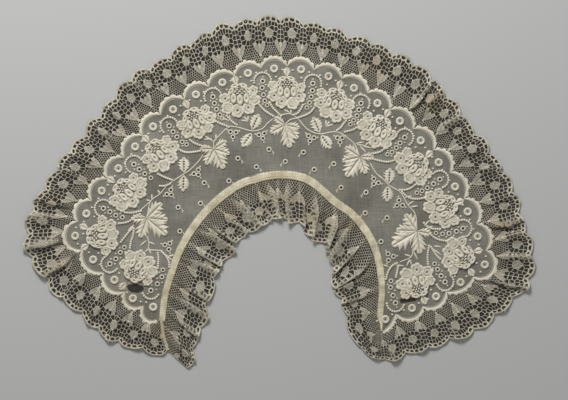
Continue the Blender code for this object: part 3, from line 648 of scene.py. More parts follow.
def cloth_height(x, y):
    """The height of the muslin's upper side: slow waves and the creases."""
    height = MUSLIN_TOP + 0.10 * np.sin(x / 21.0 + 0.6) * np.sin(y / 17.0)
    height = height + 0.06 * np.sin(x / 9.0 - y / 12.0)
    for from_x, from_y, to_x, to_y, half_width, rise in CREASES:
        start = np.array(from_photo(from_x, from_y))
        along = np.array(from_photo(to_x, to_y)) - start
        length = np.linalg.norm(along)
        along = along / length
        forward = ((x - start[0]) * along[0] + (y - start[1]) * along[1]) / length
        sideways = (x - start[0]) * along[1] - (y - start[1]) * along[0]
        fade = np.sin(math.pi * np.clip(forward, 0.0, 1.0))
        height = height + CREASE_GAIN * rise * fade * np.exp(-(sideways / half_width) ** 2)
    return height


def floor_height(x, _):
    """The height of the floor, as cloth_height gives the muslin's."""
    return np.zeros(len(x))


def stain_at(points):
    """How aged the cloth is at each point, from 0 to 1."""
    strength = np.zeros(len(points))
    for pixel_x, pixel_y, radius, most in STAINS:
        x, y = from_photo(pixel_x, pixel_y)
        distance = np.hypot(points[:, 0] - x, points[:, 1] - y) / (radius * MM_PER_PIXEL)
        strength = np.maximum(strength, most * np.exp(-distance ** 2))
    return strength


def inside_loop(points, loop):
    """Which points lie inside a closed loop."""
    inside = np.zeros(len(points), bool)
    for here, there in zip(loop, np.roll(loop, -1, axis=0)):
        crosses = (here[1] > points[:, 1]) != (there[1] > points[:, 1])
        if crosses.any():
            slope = (there[0] - here[0]) / (there[1] - here[1])
            at = here[0] + (points[:, 1] - here[1]) * slope
            inside ^= crosses & (points[:, 0] < at)
    return inside


def in_rip(point):
    """Whether a point lies in or at the edge of one of the rips."""
    for rip in map(np.array, RIPS):
        middle = rip.mean(axis=0)
        if inside_loop(np.array([point]), middle + (rip - middle) * RIP_REACH)[0]:
            return True
    return False


class Needlework:
    """Small closed forms gathered into one mesh. The third number is the lift off the cloth.

    A tone, from 0 to 1, says how far the thread goes over to the grey of the cloth: where the
    cloth behind shows through the thread, and as painted shade at the feet of forms and in their
    grooves. Beyond 1, up to 2, it is painted shade, as deep as the place lies in shadow.
    """

    def __init__(self):
        self.points = []
        self.tones = []
        self.faces = []
        self.count = 0

    def add(self, points, faces, tones=None):
        """Add one form, with a tone for each of its points."""
        points = np.asarray(points, float).reshape(-1, 3)
        self.points.append(points)
        self.tones.append(np.zeros(len(points)) if tones is None else tones)
        self.faces += [[self.count + corner for corner in face] for face in faces]
        self.count += len(points)

    def swept(self, rows, tones=None):
        """A closed form through rows of points that go from its left over its top.

        The tones, if any, are one for each point of a row.
        """
        rows = np.asarray(rows, float)
        steps, columns = rows.shape[:2]
        faces = []
        for here in range(0, (steps - 1) * columns, columns):
            there = here + columns
            for column in range(columns):
                beside = (column + 1) % columns
                faces.append([here + column, here + beside, there + beside, there + column])
        faces.append(list(reversed(range(columns))))
        faces.append([(steps - 1) * columns + column for column in range(columns)])
        self.add(rows, faces, None if tones is None else np.tile(tones, steps))

    def ridge(self, path, half_width, height, lift=0.0, pointed=False):
        """A satin-stitched line along a path."""
        path = np.asarray(path, float)
        sides = side_vectors(path)
        swell = np.ones(len(path))
        if pointed:
            swell = 0.25 + 0.75 * np.sin(math.pi * np.linspace(0.06, 0.94, len(path)))
        columns = []
        for across, rise in ((1.0, -0.12), (0.75, 0.65), (0.0, 1.0), (-0.75, 0.65), (-1.0, -0.12)):
            moved = path + sides * (across * half_width * swell)[:, None]
            columns.append(np.column_stack([moved, lift + rise * height * swell]))
        self.swept(np.stack(columns, axis=1))

    def turned(self, centre, radii, turn, height, profile, around, lift=0.0, hollow=False,
               outline=None, ribs=0.0, dent=0.0, crescents=None):
        """A round or oval form from a profile of (share of radius, share of height, tone).

        Ribs lower every other spoke, a dent lowers the rim where its outline draws in, and
        crescents is the angle at which the groove round the middle is deepest and the painted
        shade of its tone strongest.
        """
        angles = np.linspace(0.0, 2.0 * math.pi, around, endpoint=False)
        reach = np.ones(around) if outline is None else outline(angles)
        spokes = 1.0 - ribs * (np.arange(around) % 2)
        rings = []
        tones = []
        for share, rise, tone in profile:
            shape = 1.0 + (reach - 1.0) * (1.0 if share > 0.5 else share)
            x, y = placed(centre, radii[0] * share * shape * np.cos(angles),
                          radii[1] * share * shape * np.sin(angles), math.radians(turn))
            level = rise * spokes * (reach / reach.max()) ** (dent if share > 0.55 else 0.0)
            depth = np.ones(around)
            if crescents is not None and GROOVE[0] < share < GROOVE[1]:
                depth = 0.65 + 0.35 * np.cos(2.0 * (angles - crescents))
                level = 1.0 - (1.0 - level) * (0.2 + 0.8 * depth)
            rings.append(np.column_stack([x, y, lift + level * height]))
            # Where the groove is deepest, its painted shade is strongest
            tones.append(tone * depth)
        faces = []
        last = len(rings) - 1
        for ring in range(last + 1 if hollow else last):
            outer = ring * around
            inner = (ring + 1) % len(rings) * around
            for step in range(around):
                beside = (step + 1) % around
                faces.append([outer + step, outer + beside, inner + beside, inner + step])
        if not hollow:
            faces.append([last * around + step for step in range(around)])
            faces.append(list(reversed(range(around))))
        self.add(np.vstack(rings), faces, np.concatenate(tones))

    def dot(self, place, radii, height, around):
        """A padded dot, left out where the muslin is torn."""
        if not in_rip(place):
            self.turned(place, radii, 0.0, height, PAD_PROFILE, around)

    def leaf(self, base, tip, half_width, teeth, height, slit, slant, toothed_from=0.0,
             smooth_hand=0.0, eyes=(), eye=0.0, bite=1.0):
        """A toothed leaf in two halves, with a groove between them that opens into round eyes.

        The teeth slant towards the tip. A hand that is smooth, 1 on the left or -1 on the
        right, has its teeth near the tip only.
        """
        base = np.array(base, float)
        along = np.array(tip, float) - base
        length = np.linalg.norm(along)
        ahead = along / length
        side = np.array([-ahead[1], ahead[0]])
        shares = np.linspace(0.0, 1.0, LEAF_ROWS)
        spine = base + shares[:, None] * along
        body = np.maximum(np.sin(math.pi * shares ** 0.8), 0.0) ** 0.9 + 0.03
        phase = shares * teeth % 1.0
        gap = slit / 2.0 * np.sin(math.pi * np.clip(shares, 0.03, 0.97)) ** 0.5
        for place in eyes:
            reach = eye * eye - ((shares - place) * length) ** 2
            gap = np.maximum(gap, np.sqrt(np.maximum(reach, 0.0)))
        for hand in (1.0, -1.0):
            toothed = shares > (0.7 if hand == smooth_hand else toothed_from)
            cut = np.where(toothed, np.interp(phase, TOOTH_PHASES, TOOTH_REACHES) ** bite, 0.95)
            swell = np.where(toothed, np.interp(phase, TOOTH_PHASES, TOOTH_SWELLS), 0.95)
            reach = half_width * body * cut
            columns = []
            for across, rise in ((0.0, -0.1), (0.1, 0.75), (0.4, 1.0), (0.78, 0.8), (1.0, -0.1)):
                moved = spine + side * (hand * (gap + reach * across))[:, None]
                moved += ahead * (slant * reach * across * (1.0 - 0.5 * shares))[:, None]
                level = rise * height * (swell if rise > 0.0 else np.ones(len(spine)))
                columns.append(np.column_stack([moved, level]))
            if hand > 0.0:
                columns.reverse()
            self.swept(np.stack(columns, axis=1))

    def finish(self, name, material, slot_name, ground=cloth_height):
        """One object from all the forms, standing on its ground."""
        points = np.vstack(self.points)
        points[:, 2] += ground(points[:, 0], points[:, 1])
        tones = np.concatenate(self.tones)
        return make_piece(name, points, self.faces, material, np.minimum(tones, 1.0),
                          np.clip(tones - 1.0, 0.0, 1.0))


def add_object(name, data):
    """A new object of the scene."""
    thing = bpy.data.objects.new(name, data)
    bpy.context.scene.collection.objects.link(thing)
    return thing


def make_piece(name, points, faces, material, tones=None, shades=None):
    """One object of the collar from points in millimetres. Shades are for points or faces."""
    mesh = bpy.data.meshes.new(name)
    mesh.from_pydata((points * MM).tolist(), [], faces)
    mesh.materials.append(material)
    mesh.shade_smooth()
    mesh.set_sharp_from_angle(angle=math.radians(SHARP_DEGREES))
    if tones is None:
        tones = np.zeros(len(points))
    for title, values in (("aged", stain_at(points)), ("tone", tones), ("shade", shades)):
        if values is not None:
            domain = "POINT" if len(values) == len(points) else "FACE"
            layer = mesh.attributes.new(title, "FLOAT", domain)
            layer.data.foreach_set("value", np.asarray(values, np.float32))
    piece = add_object(name, mesh)
    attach(piece, "root")
    return piece


def thick_sheet(above, below, triangles, wall_shade):
    """A closed thin sheet: both its sides, and walls along its rims.

    It returns the points, the faces and the painted shade of each face, which is 0 on both sides.
    """
    rims = open_rims(triangles)
    faces = triangles.tolist()
    faces += (triangles[:, ::-1] + len(above)).tolist()
    faces += np.column_stack([rims[:, ::-1], rims + len(above)]).tolist()
    shades = np.concatenate([np.zeros(2 * len(triangles)), wall_shade[rims[:, 0]]])
    return np.vstack([above, below]), faces, shades


def open_rims(triangles):
    """The boundary edges of a triangle mesh, in the direction its triangles use them."""
    edges = np.vstack([triangles[:, (0, 1)], triangles[:, (1, 2)], triangles[:, (2, 0)]])
    size = int(edges.max()) + 1
    keys = edges[:, 0] * size + edges[:, 1]
    return edges[~np.isin(keys, edges[:, 1] * size + edges[:, 0])]


def triangulate(points, edges):
    """Triangles over points with the given edges kept, as rows of three indices."""
    verts = [tuple(point) for point in points]
    _, _, faces, sources, _, _ = delaunay_2d_cdt(verts, edges, [], 0, 1e-7, True)
    index = np.array([source[0] for source in sources])
    corners = np.array([face for face in faces if len(face) == 3])
    return index[corners]


def loop_edges(loops):
    """Index pairs round each of several closed loops, whose points follow one another."""
    edges = []
    first = 0
    for loop in loops:
        count = len(loop)
        edges += [(first + step, first + (step + 1) % count) for step in range(count)]
        first += count
    return edges


# Materials


def plain_material(name, roughness, specular):
    """A material with one shader, and that shader."""
    material = bpy.data.materials.new(name)
    material.use_nodes = True
    shader = material.node_tree.nodes["Principled BSDF"]
    shader.inputs["Roughness"].default_value = roughness
    shader.inputs["Specular IOR Level"].default_value = specular
    return material, shader


def set_inputs(tree, node, inputs):
    """Link or set inputs of a node, each of which is given as a socket or as a value."""
    for name, given in inputs.items():
        if isinstance(given, bpy.types.NodeSocket):
            tree.links.new(given, node.inputs[name])
        else:
            node.inputs[name].default_value = given


def add_node(tree, kind, inputs):
    """A new node of a material with its inputs."""
    node = tree.nodes.new(kind)
    set_inputs(tree, node, inputs)
    return node


def link_mix(tree, factor, first, second, mode="MIX"):
    """A colour mix. Each argument is a socket, or else a number or a colour."""
    colours = [given if isinstance(given, bpy.types.NodeSocket) else (*given, 1.0)
               for given in (first, second)]
    node = add_node(tree, "ShaderNodeMix", {})
    node.data_type = "RGBA"
    node.blend_type = mode
    set_inputs(tree, node, {0: factor, 6: colours[0], 7: colours[1]})
    return node.outputs[2]


def attribute(tree, name):
    """A value that each point or face of a piece has of its own."""
    node = tree.nodes.new("ShaderNodeAttribute")
    node.attribute_name = name
    return node.outputs["Fac"]


def combined(tree, operation, first, second):
    """One value from two, by a sum, a product or the larger one."""
    node = add_node(tree, "ShaderNodeMath", {0: first, 1: second})
    node.operation = operation
    return node.outputs[0]


def noise(tree, place, scale, detail=3.0, stretch=(1.0, 1.0, 1.0)):
    """A noise texture over the object's own coordinates, which are in metres."""
    mapping = add_node(tree, "ShaderNodeMapping", {"Scale": stretch, "Vector": place})
    texture = add_node(tree, "ShaderNodeTexNoise", {"Scale": scale, "Detail": detail,
                                                    "Vector": mapping.outputs["Vector"]})
    return texture.outputs["Fac"]


def spread(tree, value, low, high, to_low=0.0, to_high=1.0):
    """A value stretched from one range to another and kept inside it."""
    return add_node(tree, "ShaderNodeMapRange", {
        "Value": value, "From Min": low, "From Max": high, "To Min": to_low, "To Max": to_high,
    }).outputs["Result"]


def threads(tree, place, pitch, direction):
    """Fine parallel threads: a wave texture of the given pitch in millimetres."""
    node = add_node(tree, "ShaderNodeTexWave", {
        "Scale": 2.0 * math.pi / (20.0 * pitch * MM), "Distortion": 1.2, "Detail": 1.0,
        "Detail Scale": 0.6, "Vector": place,
    })
    node.wave_type = "BANDS"
    node.bands_direction = direction
    return node.outputs["Fac"]


def cloth_finish(name, light, dark, aged, roughness, sheen, patch, grain=700.0, speckle=0.1,
                 mottle=0.0, weave=0.0, slubs=0.0, bump=0.25, toned=None, shaded=None):
    """A cloth material: patchy colour, aged places, and a weave or a thread grain.

    Where a piece has a tone, its colour goes over to the toned one, which in the needlework is
    partly the cloth's grey showing through and partly painted shade; where it has a shade, it goes
    over to the shaded one, which is painted shade.
    """
    material, shader = plain_material(name, roughness, 0.25)
    shader.inputs["Sheen Weight"].default_value = sheen
    tree = material.node_tree
    place = tree.nodes.new("ShaderNodeTexCoord").outputs["Object"]
    patches = spread(tree, noise(tree, place, patch), 0.35, 0.65)
    colour = link_mix(tree, patches, light, dark)
    if toned:
        colour = link_mix(tree, attribute(tree, "tone"), colour, toned)
    fine = noise(tree, place, grain, 2.0)
    shade = spread(tree, fine, 0.3, 0.7, 1.0 - speckle, 1.0 + speckle)
    if slubs:
        across = noise(tree, place, 1.0, 2.0, (70.0, 1300.0, 70.0))
        down = noise(tree, place, 1.0, 2.0, (1300.0, 70.0, 70.0))
        streaks = combined(tree, "ADD", across, down)
        shade = spread(tree, streaks, 0.75, 1.25, 1.0 - slubs, 1.0 + slubs)
    grey = add_node(tree, "ShaderNodeCombineColor", {0: shade, 1: shade, 2: shade})
    colour = link_mix(tree, 1.0, colour, grey.outputs[0], "MULTIPLY")
    if mottle:
        cloud = spread(tree, noise(tree, place, 300.0, 3.0), 0.35, 0.6, mottle, 0.0)
        colour = link_mix(tree, cloud, colour, [part * 0.45 for part in dark])
    rough_edge = spread(tree, noise(tree, place, 160.0, 4.0), 0.3, 0.6, 0.4, 1.0)
    ragged = combined(tree, "MULTIPLY", attribute(tree, "aged"), rough_edge)
    colour = link_mix(tree, ragged, colour, aged)
    # Painted shade: where a piece has a shade, its colour goes over to the dark shaded one
    if shaded:
        colour = link_mix(tree, attribute(tree, "shade"), colour, shaded)
    tree.links.new(colour, shader.inputs["Base Color"])
    height = fine
    if weave:
        height = combined(tree, "MAXIMUM", threads(tree, place, weave, "X"),
                          threads(tree, place, weave, "Y"))
    relief = add_node(tree, "ShaderNodeBump",
                      {"Strength": bump, "Distance": 0.0002, "Height": height})
    tree.links.new(relief.outputs["Normal"], shader.inputs["Normal"])
    return material


# The muslin panel


def scallop_bulge(number):
    """How far a scallop stands out: most at the two corners, and least at the right front."""
    bulge = CORNER_BULGE if number in CORNER_SCALLOPS else SCALLOP_BULGE
    return SHALLOW_BULGES.get(number, bulge)


def scalloped_edge(steps):
    """The outer edge of the muslin, with the given number of points for each scallop."""
    edge = []
    for number in range(len(VALLEYS) - 1):
        start = np.array(VALLEYS[number])
        end = np.array(VALLEYS[number + 1])
        bulge = scallop_bulge(number)
        half_chord = np.linalg.norm(end - start) / 2.0
        radius = (half_chord * half_chord + bulge * bulge) / (2.0 * bulge)
        along = (end - start) / (2.0 * half_chord)
        outward = np.array([-along[1], along[0]])
        centre = (start + end) / 2.0 - outward * (radius - bulge)
        half_angle = math.atan2(half_chord, radius - bulge)
        angles = half_angle * np.linspace(-1.0, 1.0, steps, endpoint=False)
        edge.append(centre + outward * radius * np.cos(angles)[:, None]
                    + along * radius * np.sin(angles)[:, None])
    edge.append(np.array([VALLEYS[-1]]))
    return np.vstack(edge)


def band_path(steps):
    """The muslin side of the neck band as an even path."""
    return through(BAND_ROUTE, count=steps + 1)


def band_widths(steps):
    """The band's width at each point of its path: it narrows at its right end."""
    share = np.arange(steps + 1) / steps
    taper = np.clip((1.0 - share) / BAND_TAPER, 0.35, 1.0)
    return (BAND_END_WIDTH + BAND_EXTRA_WIDTH * np.sin(math.pi * share)) * taper


def eyelet_places():
    """Every worked eyelet: x, y, ring radius and hole radius, all in millimetres."""
    places = []
    first, loss, share = LOOP_EYELET
    for eyelets, _, _ in LOOPS:
        for number, (x, y) in enumerate(eyelets):
            ring = (first - loss * number) * MM_PER_PIXEL
            places.append((*from_photo(x, y), ring, ring * share))
    groups = [(group, TRIPLE_EYELET) for group in TRIPLE_EYELETS]
    for group, (ring, hole) in groups + [(SINGLE_EYELETS, SINGLE_EYELET)]:
        places += [(*from_photo(x, y), ring * MM_PER_PIXEL, hole * MM_PER_PIXEL)
                   for x, y in group]
    return places


def ladder_places(row):
    """The holes down the middle of a small leaf: x, y."""
    return between(from_photo(*row[:2]), from_photo(*row[2:]), LADDER_SHARES)


def on_cloth(points, outline, eyes, rips, share, margin):
    """Which points lie on the muslin, outside its rips and its round holes of x, y, radius.

    The share and the margin say how much of a hole's radius counts, and how much is added.
    """
    keep = inside_loop(points, outline)
    for x, y, radius in eyes:
        keep &= np.hypot(points[:, 0] - x, points[:, 1] - y) > radius * share + margin
    for rip in rips:
        keep &= ~inside_loop(points, rip)
    return keep


def build_muslin(finish):
    """The sheer muslin: one thin sheet with its eyelets, wheel holes and rips cut through, and
    painted shade on the walls of its rips.
    """
    edge = scalloped_edge(EDGE_STEPS)
    edge = edge - side_vectors(edge, 1.2) * EDGE_INSET
    neck = band_path(BAND_STEPS // 2)
    neck = neck - side_vectors(neck) * NECK_INSET
    outline = np.vstack([edge, neck[::-1]])
    eyes = [(x, y, hole) for x, y, _, hole in eyelet_places()]
    eyes += [(*from_photo(x, y), WHEEL_EYE) for x, y in WHEELS]
    eyes += [(x, y, LADDER_EYE) for row in SMALL_LEAVES for x, y in ladder_places(row)]
    angles = np.linspace(0.0, 2.0 * math.pi, 10, endpoint=False)
    ring = np.column_stack([np.cos(angles), np.sin(angles)])
    rips = [np.array(rip) for rip in RIPS]
    loops = [outline] + [radius * ring + (x, y) for x, y, radius in eyes] + rips
    columns, rows = np.meshgrid(*[np.arange(*reach, GRID_STEP) for reach in GRID_REACH])
    columns = columns + (np.arange(columns.shape[0]) % 2)[:, None] * GRID_STEP / 2.0
    grid = np.column_stack([columns.ravel(), rows.ravel()])
    grid = grid[on_cloth(grid, outline, eyes, rips, 1.0, GRID_CLEARANCE)]
    flat = np.vstack(loops + [grid])
    triangles = triangulate(flat, loop_edges(loops))
    middles = flat[triangles].mean(axis=1)
    triangles = triangles[on_cloth(middles, outline, eyes, rips, 0.94, 0.0)]
    above = np.column_stack([flat, cloth_height(flat[:, 0], flat[:, 1])])
    below = above - (0.0, 0.0, MUSLIN_THICKNESS)
    # Painted shade on the walls that close each rip downwards
    torn = np.zeros(len(flat), bool)
    for rip in rips:
        in_loop = np.isin(flat[:, 0], rip[:, 0]) & np.isin(flat[:, 1], rip[:, 1])
        middle = rip.mean(axis=0)
        below[in_loop, :2] = middle + (flat[in_loop] - middle) * RIP_FOOT
        torn |= in_loop
    points, faces, shades = thick_sheet(above, below, triangles, torn)
    return make_piece("muslin_sheet", points, faces, finish, shades=shades)


def build_border(finish):
    """The buttonholed edge: a raised band of close stitches with small lobes outside."""
    edge = scalloped_edge(ARC_STEPS)
    sides = side_vectors(edge, 1.25)
    step = np.arange(len(edge))
    share_along = (step % ARC_STEPS) / ARC_STEPS
    swell = np.sin(math.pi * share_along) ** 0.7
    lobes = np.array(SUB_LOBES)[step // ARC_STEPS % len(SUB_LOBES)]
    lobe = np.abs(np.sin(math.pi * lobes * share_along)) ** 0.6
    lobe = lobe * (1.0 + 0.3 * np.sin(step * 0.37))
    rib = np.where(step % 2 == 0, 1.0, 0.84)
    columns = []
    for share, rise, _ in BORDER_PROFILE:
        inset = share * (2.4 + 1.8 * swell)
        outward = 1.5 * (lobe - 0.55) * max(0.0, 1.0 - max(share, 0.0) / 0.55) - inset
        moved = edge + sides * outward[:, None]
        level = rise * rib if rise > 0.3 else np.full(len(edge), rise)
        columns.append(np.column_stack([moved, level]))
    work = Needlework()
    work.swept(np.stack(columns, axis=1), tones=[row[2] for row in BORDER_PROFILE])
    return work.finish("buttonholed_edge", finish, "embroidery")


# Embroidery


def in_flower(centre, turn, u, v):
    """Millimetres from a place in a flower's own pixels, its bud along the second axis."""
    return placed(centre, u * MM_PER_PIXEL, v * MM_PER_PIXEL, math.radians(turn))


def petal_outline(notched):
    """The reach of a petal at each angle: scalloped outwards, and narrower towards the heart."""
    def reach(angles):
        bumps = np.abs(np.cos(3.0 * angles + (math.pi / 2.0 if notched else 0.0))) ** 0.6
        outer = 0.5 + 0.5 * np.cos(angles)
        return 0.86 + 0.21 * bumps * outer ** 0.5

    return reach


def build_flowers(finish):
    """Thirteen flowers: padded petals with a ring in each, and a heart of ovals and knots."""
    work = Needlework()
    size = MM_PER_PIXEL
    for flower, (x, y, direction, petals) in enumerate(FLOWERS):
        centre = from_photo(x, y)
        turn = direction - 90.0
        work.turned(in_flower(centre, turn, 0.0, 4.0), (12.2 * size, 11.6 * size), turn, 0.6,
                    GROUND_PROFILE, 28)
        for number, (right, down, radius) in enumerate(petals):
            middle = PETAL_PIT if (flower + number) % 3 else PETAL_KNOT
            inward = 1.0 - PETAL_DRAW / math.hypot(right, down)
            work.turned(from_photo(x + right * inward, y + down * inward),
                        ((radius + PETAL_DRAW) * size, (radius + PETAL_GROWTH) * size),
                        math.degrees(math.atan2(-down, right)), 1.5, PETAL_PROFILE + middle, 48,
                        lift=0.1 * (number % 2), ribs=0.08, dent=2.5,
                        crescents=math.radians(70.0 * (flower + 2 * number)),
                        outline=petal_outline((flower + number) % 2 == 0))
        forms = [(row, 1.45, OVAL_PROFILE, 22) for row in HEART_OVALS]
        if flower % 2:
            forms += [(row, 1.3, PAD_PROFILE, 12) for row in HEART_BARS]
        for (u, v, half_width, half_length, tilt), height, profile, around in forms:
            work.turned(in_flower(centre, turn, u, v), (half_width * size, half_length * size),
                        turn + tilt, height, profile, around, lift=0.4)
        for u, v in () if flower % 2 else HEART_KNOTS:
            work.turned(in_flower(centre, turn, u, v), (KNOT_RADIUS, KNOT_RADIUS), 0.0, 1.35,
                        KNOT_PROFILE, 9, lift=0.4)
    return work.finish("raised_flowers", finish, "embroidery")


def nearest_flower(x, y):
    """The place of the flower nearest to a point, in millimetres."""
    centres = photo_points([row[:2] for row in FLOWERS])
    return centres[np.argmin(np.hypot(centres[:, 0] - x, centres[:, 1] - y))]


def build_buds(finish):
    """Small toothed buds, each pointing away from its flower."""
    work = Needlework()
    for pixel_x, pixel_y in BUDS:
        centre = np.array(from_photo(pixel_x, pixel_y))
        outward = unit(centre - nearest_flower(*centre))
        work.leaf(centre - outward * 4.6, centre + outward * 4.3, 3.5, 4, 0.9, 0.1, slant=0.7,
                  toothed_from=0.4, smooth_hand=1.0)
    return work.finish("flower_buds", finish, "embroidery")


def build_leaves(finish):
    """Vine leaves of five serrated lobes, and small leaves with a ladder of holes."""
    work = Needlework()
    for middle, tips in VINE_LEAVES:
        base = np.array(from_photo(*middle))
        for number, tip in enumerate(tips):
            end = np.array(from_photo(*tip))
            length = np.linalg.norm(end - base)
            work.leaf(base, end, 0.31 * length, 4, 1.2 - 0.15 * (number % 2), 0.3, slant=0.95,
                      bite=1.45)
    for number, row in enumerate(SMALL_LEAVES):
        work.leaf(from_photo(*row[:2]), from_photo(*row[2:]), 4.9, 5, 0.95, 0.08, slant=0.5,
                  smooth_hand=1.0 if number % 2 else -1.0, eyes=LADDER_SHARES, eye=LADDER_EYE)
    return work.finish("leaves", finish, "embroidery")


def build_wheels(finish):
    """The wheels in the scallops, with satin dots beside them."""
    work = Needlework()
    centres = photo_points(WHEELS)
    ends = side_vectors(centres)
    radial = lambda angles: 1.0 + 0.035 * np.cos(8.0 * angles)
    for number, centre in enumerate(centres):
        work.turned(centre, (3.9, 3.8), 15.0 * number, 1.15, WHEEL_PROFILE, 32, hollow=True,
                    outline=radial, ribs=0.1)
        outward = unit(ends[number])
        along = np.array([outward[1], -outward[0]])
        for forward, inward in WHEEL_DOTS:
            work.dot(centre + along * forward - outward * inward, (1.1, 0.95), 0.8, 10)
    return work.finish("wheels_and_dots", finish, "embroidery")


def build_eyelets(finish):
    """Overcast rings round the eyelets, with painted shade down their holes, and their small
    tails.
    """
    work = Needlework()
    for x, y, ring, hole in eyelet_places():
        share = hole / ring
        # Tones beyond 1 inside the ring are painted shade down the hole
        profile = ((1.0, -0.1, 0.2), (0.92, 0.75, 0.0), ((1.0 + share) / 2.0, 1.0, 0.0),
                   (share * 1.15, 0.6, 0.2), (share, 0.1, 1.7), (share * 0.94, -0.3, 2.0),
                   (share * 0.55, -0.6, 2.0))
        work.turned((x, y), (ring, ring), 0.0, 0.85, profile, 18, hollow=True)
    for group in TRIPLE_EYELETS:
        places = photo_points(group)
        middle = places.mean(axis=0)
        for place in places:
            outward = unit(place - middle)
            turn = math.degrees(math.atan2(outward[1], outward[0]))
            work.turned(place + outward * 3.3, (1.1, 0.75), turn, 0.5, PAD_PROFILE, 8)
    for pixel_x, pixel_y in SINGLE_EYELETS:
        x, y = from_photo(pixel_x, pixel_y)
        hand = 1.0 if pixel_x < IMAGE_MIDDLE[0] else -1.0
        tail, twig = ([(x + hand * across, y + rise) for across, rise in line]
                      for line in (EYELET_TAIL, EYELET_TWIG))
        work.ridge(through(tail, 0.8), 0.38, 0.35)
        work.ridge(twig, 0.34, 0.3)
    return work.finish("eyelet_rings", finish, "embroidery")


def build_beads(finish):
    """The beaded loops: an arch round the first eyelet, two lines of beads, and dots."""
    work = Needlework()
    radius = BEAD_RADIUS * MM_PER_PIXEL
    pitch = BEAD_PITCH * MM_PER_PIXEL
    reach = LOOP_RADIUS * MM_PER_PIXEL
    half_turn = math.radians(LOOP_HALF_TURN)
    count = int(round(2.0 * half_turn * reach / pitch))
    for eyelets, *lines in LOOPS:
        places = photo_points(eyelets)
        outward = places[0] - places[1]
        angles = math.atan2(outward[1], outward[0]) + np.linspace(-half_turn, half_turn, count)
        beads = [places[0] + reach * np.array([math.cos(a), math.sin(a)]) for a in angles]
        for line in lines:
            beads += list(through(photo_points(line), pitch))
        for bead in beads:
            work.dot(bead, (radius, radius), 1.2, 9)
        work.dot(places[0] + unit(outward) * 3.8, (0.85, 0.8), 0.7, 8)
        for number, side in enumerate(side_vectors(places)[:-1]):
            middle = (places[number] + places[number + 1]) / 2.0
            for hand in (1.0, -1.0):
                work.dot(middle + unit(side) * hand * 2.9, (0.95, 0.8), 0.7, 8)
    return work.finish("beaded_loops", finish, "embroidery")


def build_stems(finish):
    """Stem-stitched stems and short satin sprigs."""
    work = Needlework()
    for stem in STEMS:
        work.ridge(through(photo_points(stem), 1.2), 0.55, 0.6)
    for row in SPRIGS:
        path = between(from_photo(*row[:2]), from_photo(*row[2:]), np.linspace(0.0, 1.0, 6))
        work.ridge(path, 0.85, 0.8, pointed=True)
    return work.finish("stems_and_sprigs", finish, "embroidery")


# Lace


def smooth_head(x):
    """The depth of the free edge along a repeat, without its picots."""
    return HEAD_VALLEY_DEPTH + HEAD_DEPTH * np.abs(np.sin(math.pi * x / REPEAT)) ** 0.8


def head_edge(x):
    """The depth of the free edge along a repeat: one head with small picots."""
    return smooth_head(x) + PICOT_DEPTH * np.abs(np.sin(math.pi * PICOTS * x / REPEAT))


def net_places(even_shift, odd_shift):
    """Places in the rows of the net, which start at a shift of their own: row, column, x, y."""
    for row in range(NET_ROWS):
        shift = odd_shift if row % 2 else even_shift
        for column in range(NET_COLUMNS):
            yield row, column, (column + shift) * NET_PITCH, NET_FIRST_ROW + row * NET_ROW


def seam_line():
    """The line between two repeats: it winds between the holes of the net."""
    line = [(0.0, 0.0)]
    for row in range(SEAM_ROWS):
        x = NET_PITCH / 2.0 * (row % 2)
        depth = NET_FIRST_ROW + row * NET_ROW
        line += [(x, depth - NET_ROW / 3.0), (x, depth + NET_ROW / 3.0)]
    depth = line[-1][1] + 1.1
    while depth < HEAD_VALLEY_DEPTH - SEAM_STEP / 2.0:
        line.append((0.0, depth))
        depth += SEAM_STEP
    line.append((0.0, HEAD_VALLEY_DEPTH))
    return np.array(line)


def in_cloth_stitch(x, y, margin):
    """Whether a point lies in one of the leaves or the blossom, or no farther than a margin."""
    inside = False
    for centre_x, centre_y, half_length, half_width, degrees in CLOTH_STITCH:
        turn = math.radians(degrees)
        forward = (x - centre_x) * math.cos(turn) + (y - centre_y) * math.sin(turn)
        sideways = (y - centre_y) * math.cos(turn) - (x - centre_x) * math.sin(turn)
        reach = np.hypot(forward / (half_length + margin), sideways / (half_width + margin))
        inside |= reach < 1.0
    return inside


def clipped(polygon, normal, limit):
    """The part of a convex polygon that reaches no farther than a limit along a normal."""
    over = polygon @ normal - limit
    kept = []
    for number, point in enumerate(polygon):
        after = (number + 1) % len(polygon)
        if over[number] <= 0.0:
            kept.append(point)
        if over[number] * over[after] < 0.0:
            share = over[number] / (over[number] - over[after])
            kept.append(point + (polygon[after] - point) * share)
    return np.array(kept).reshape(-1, 2)


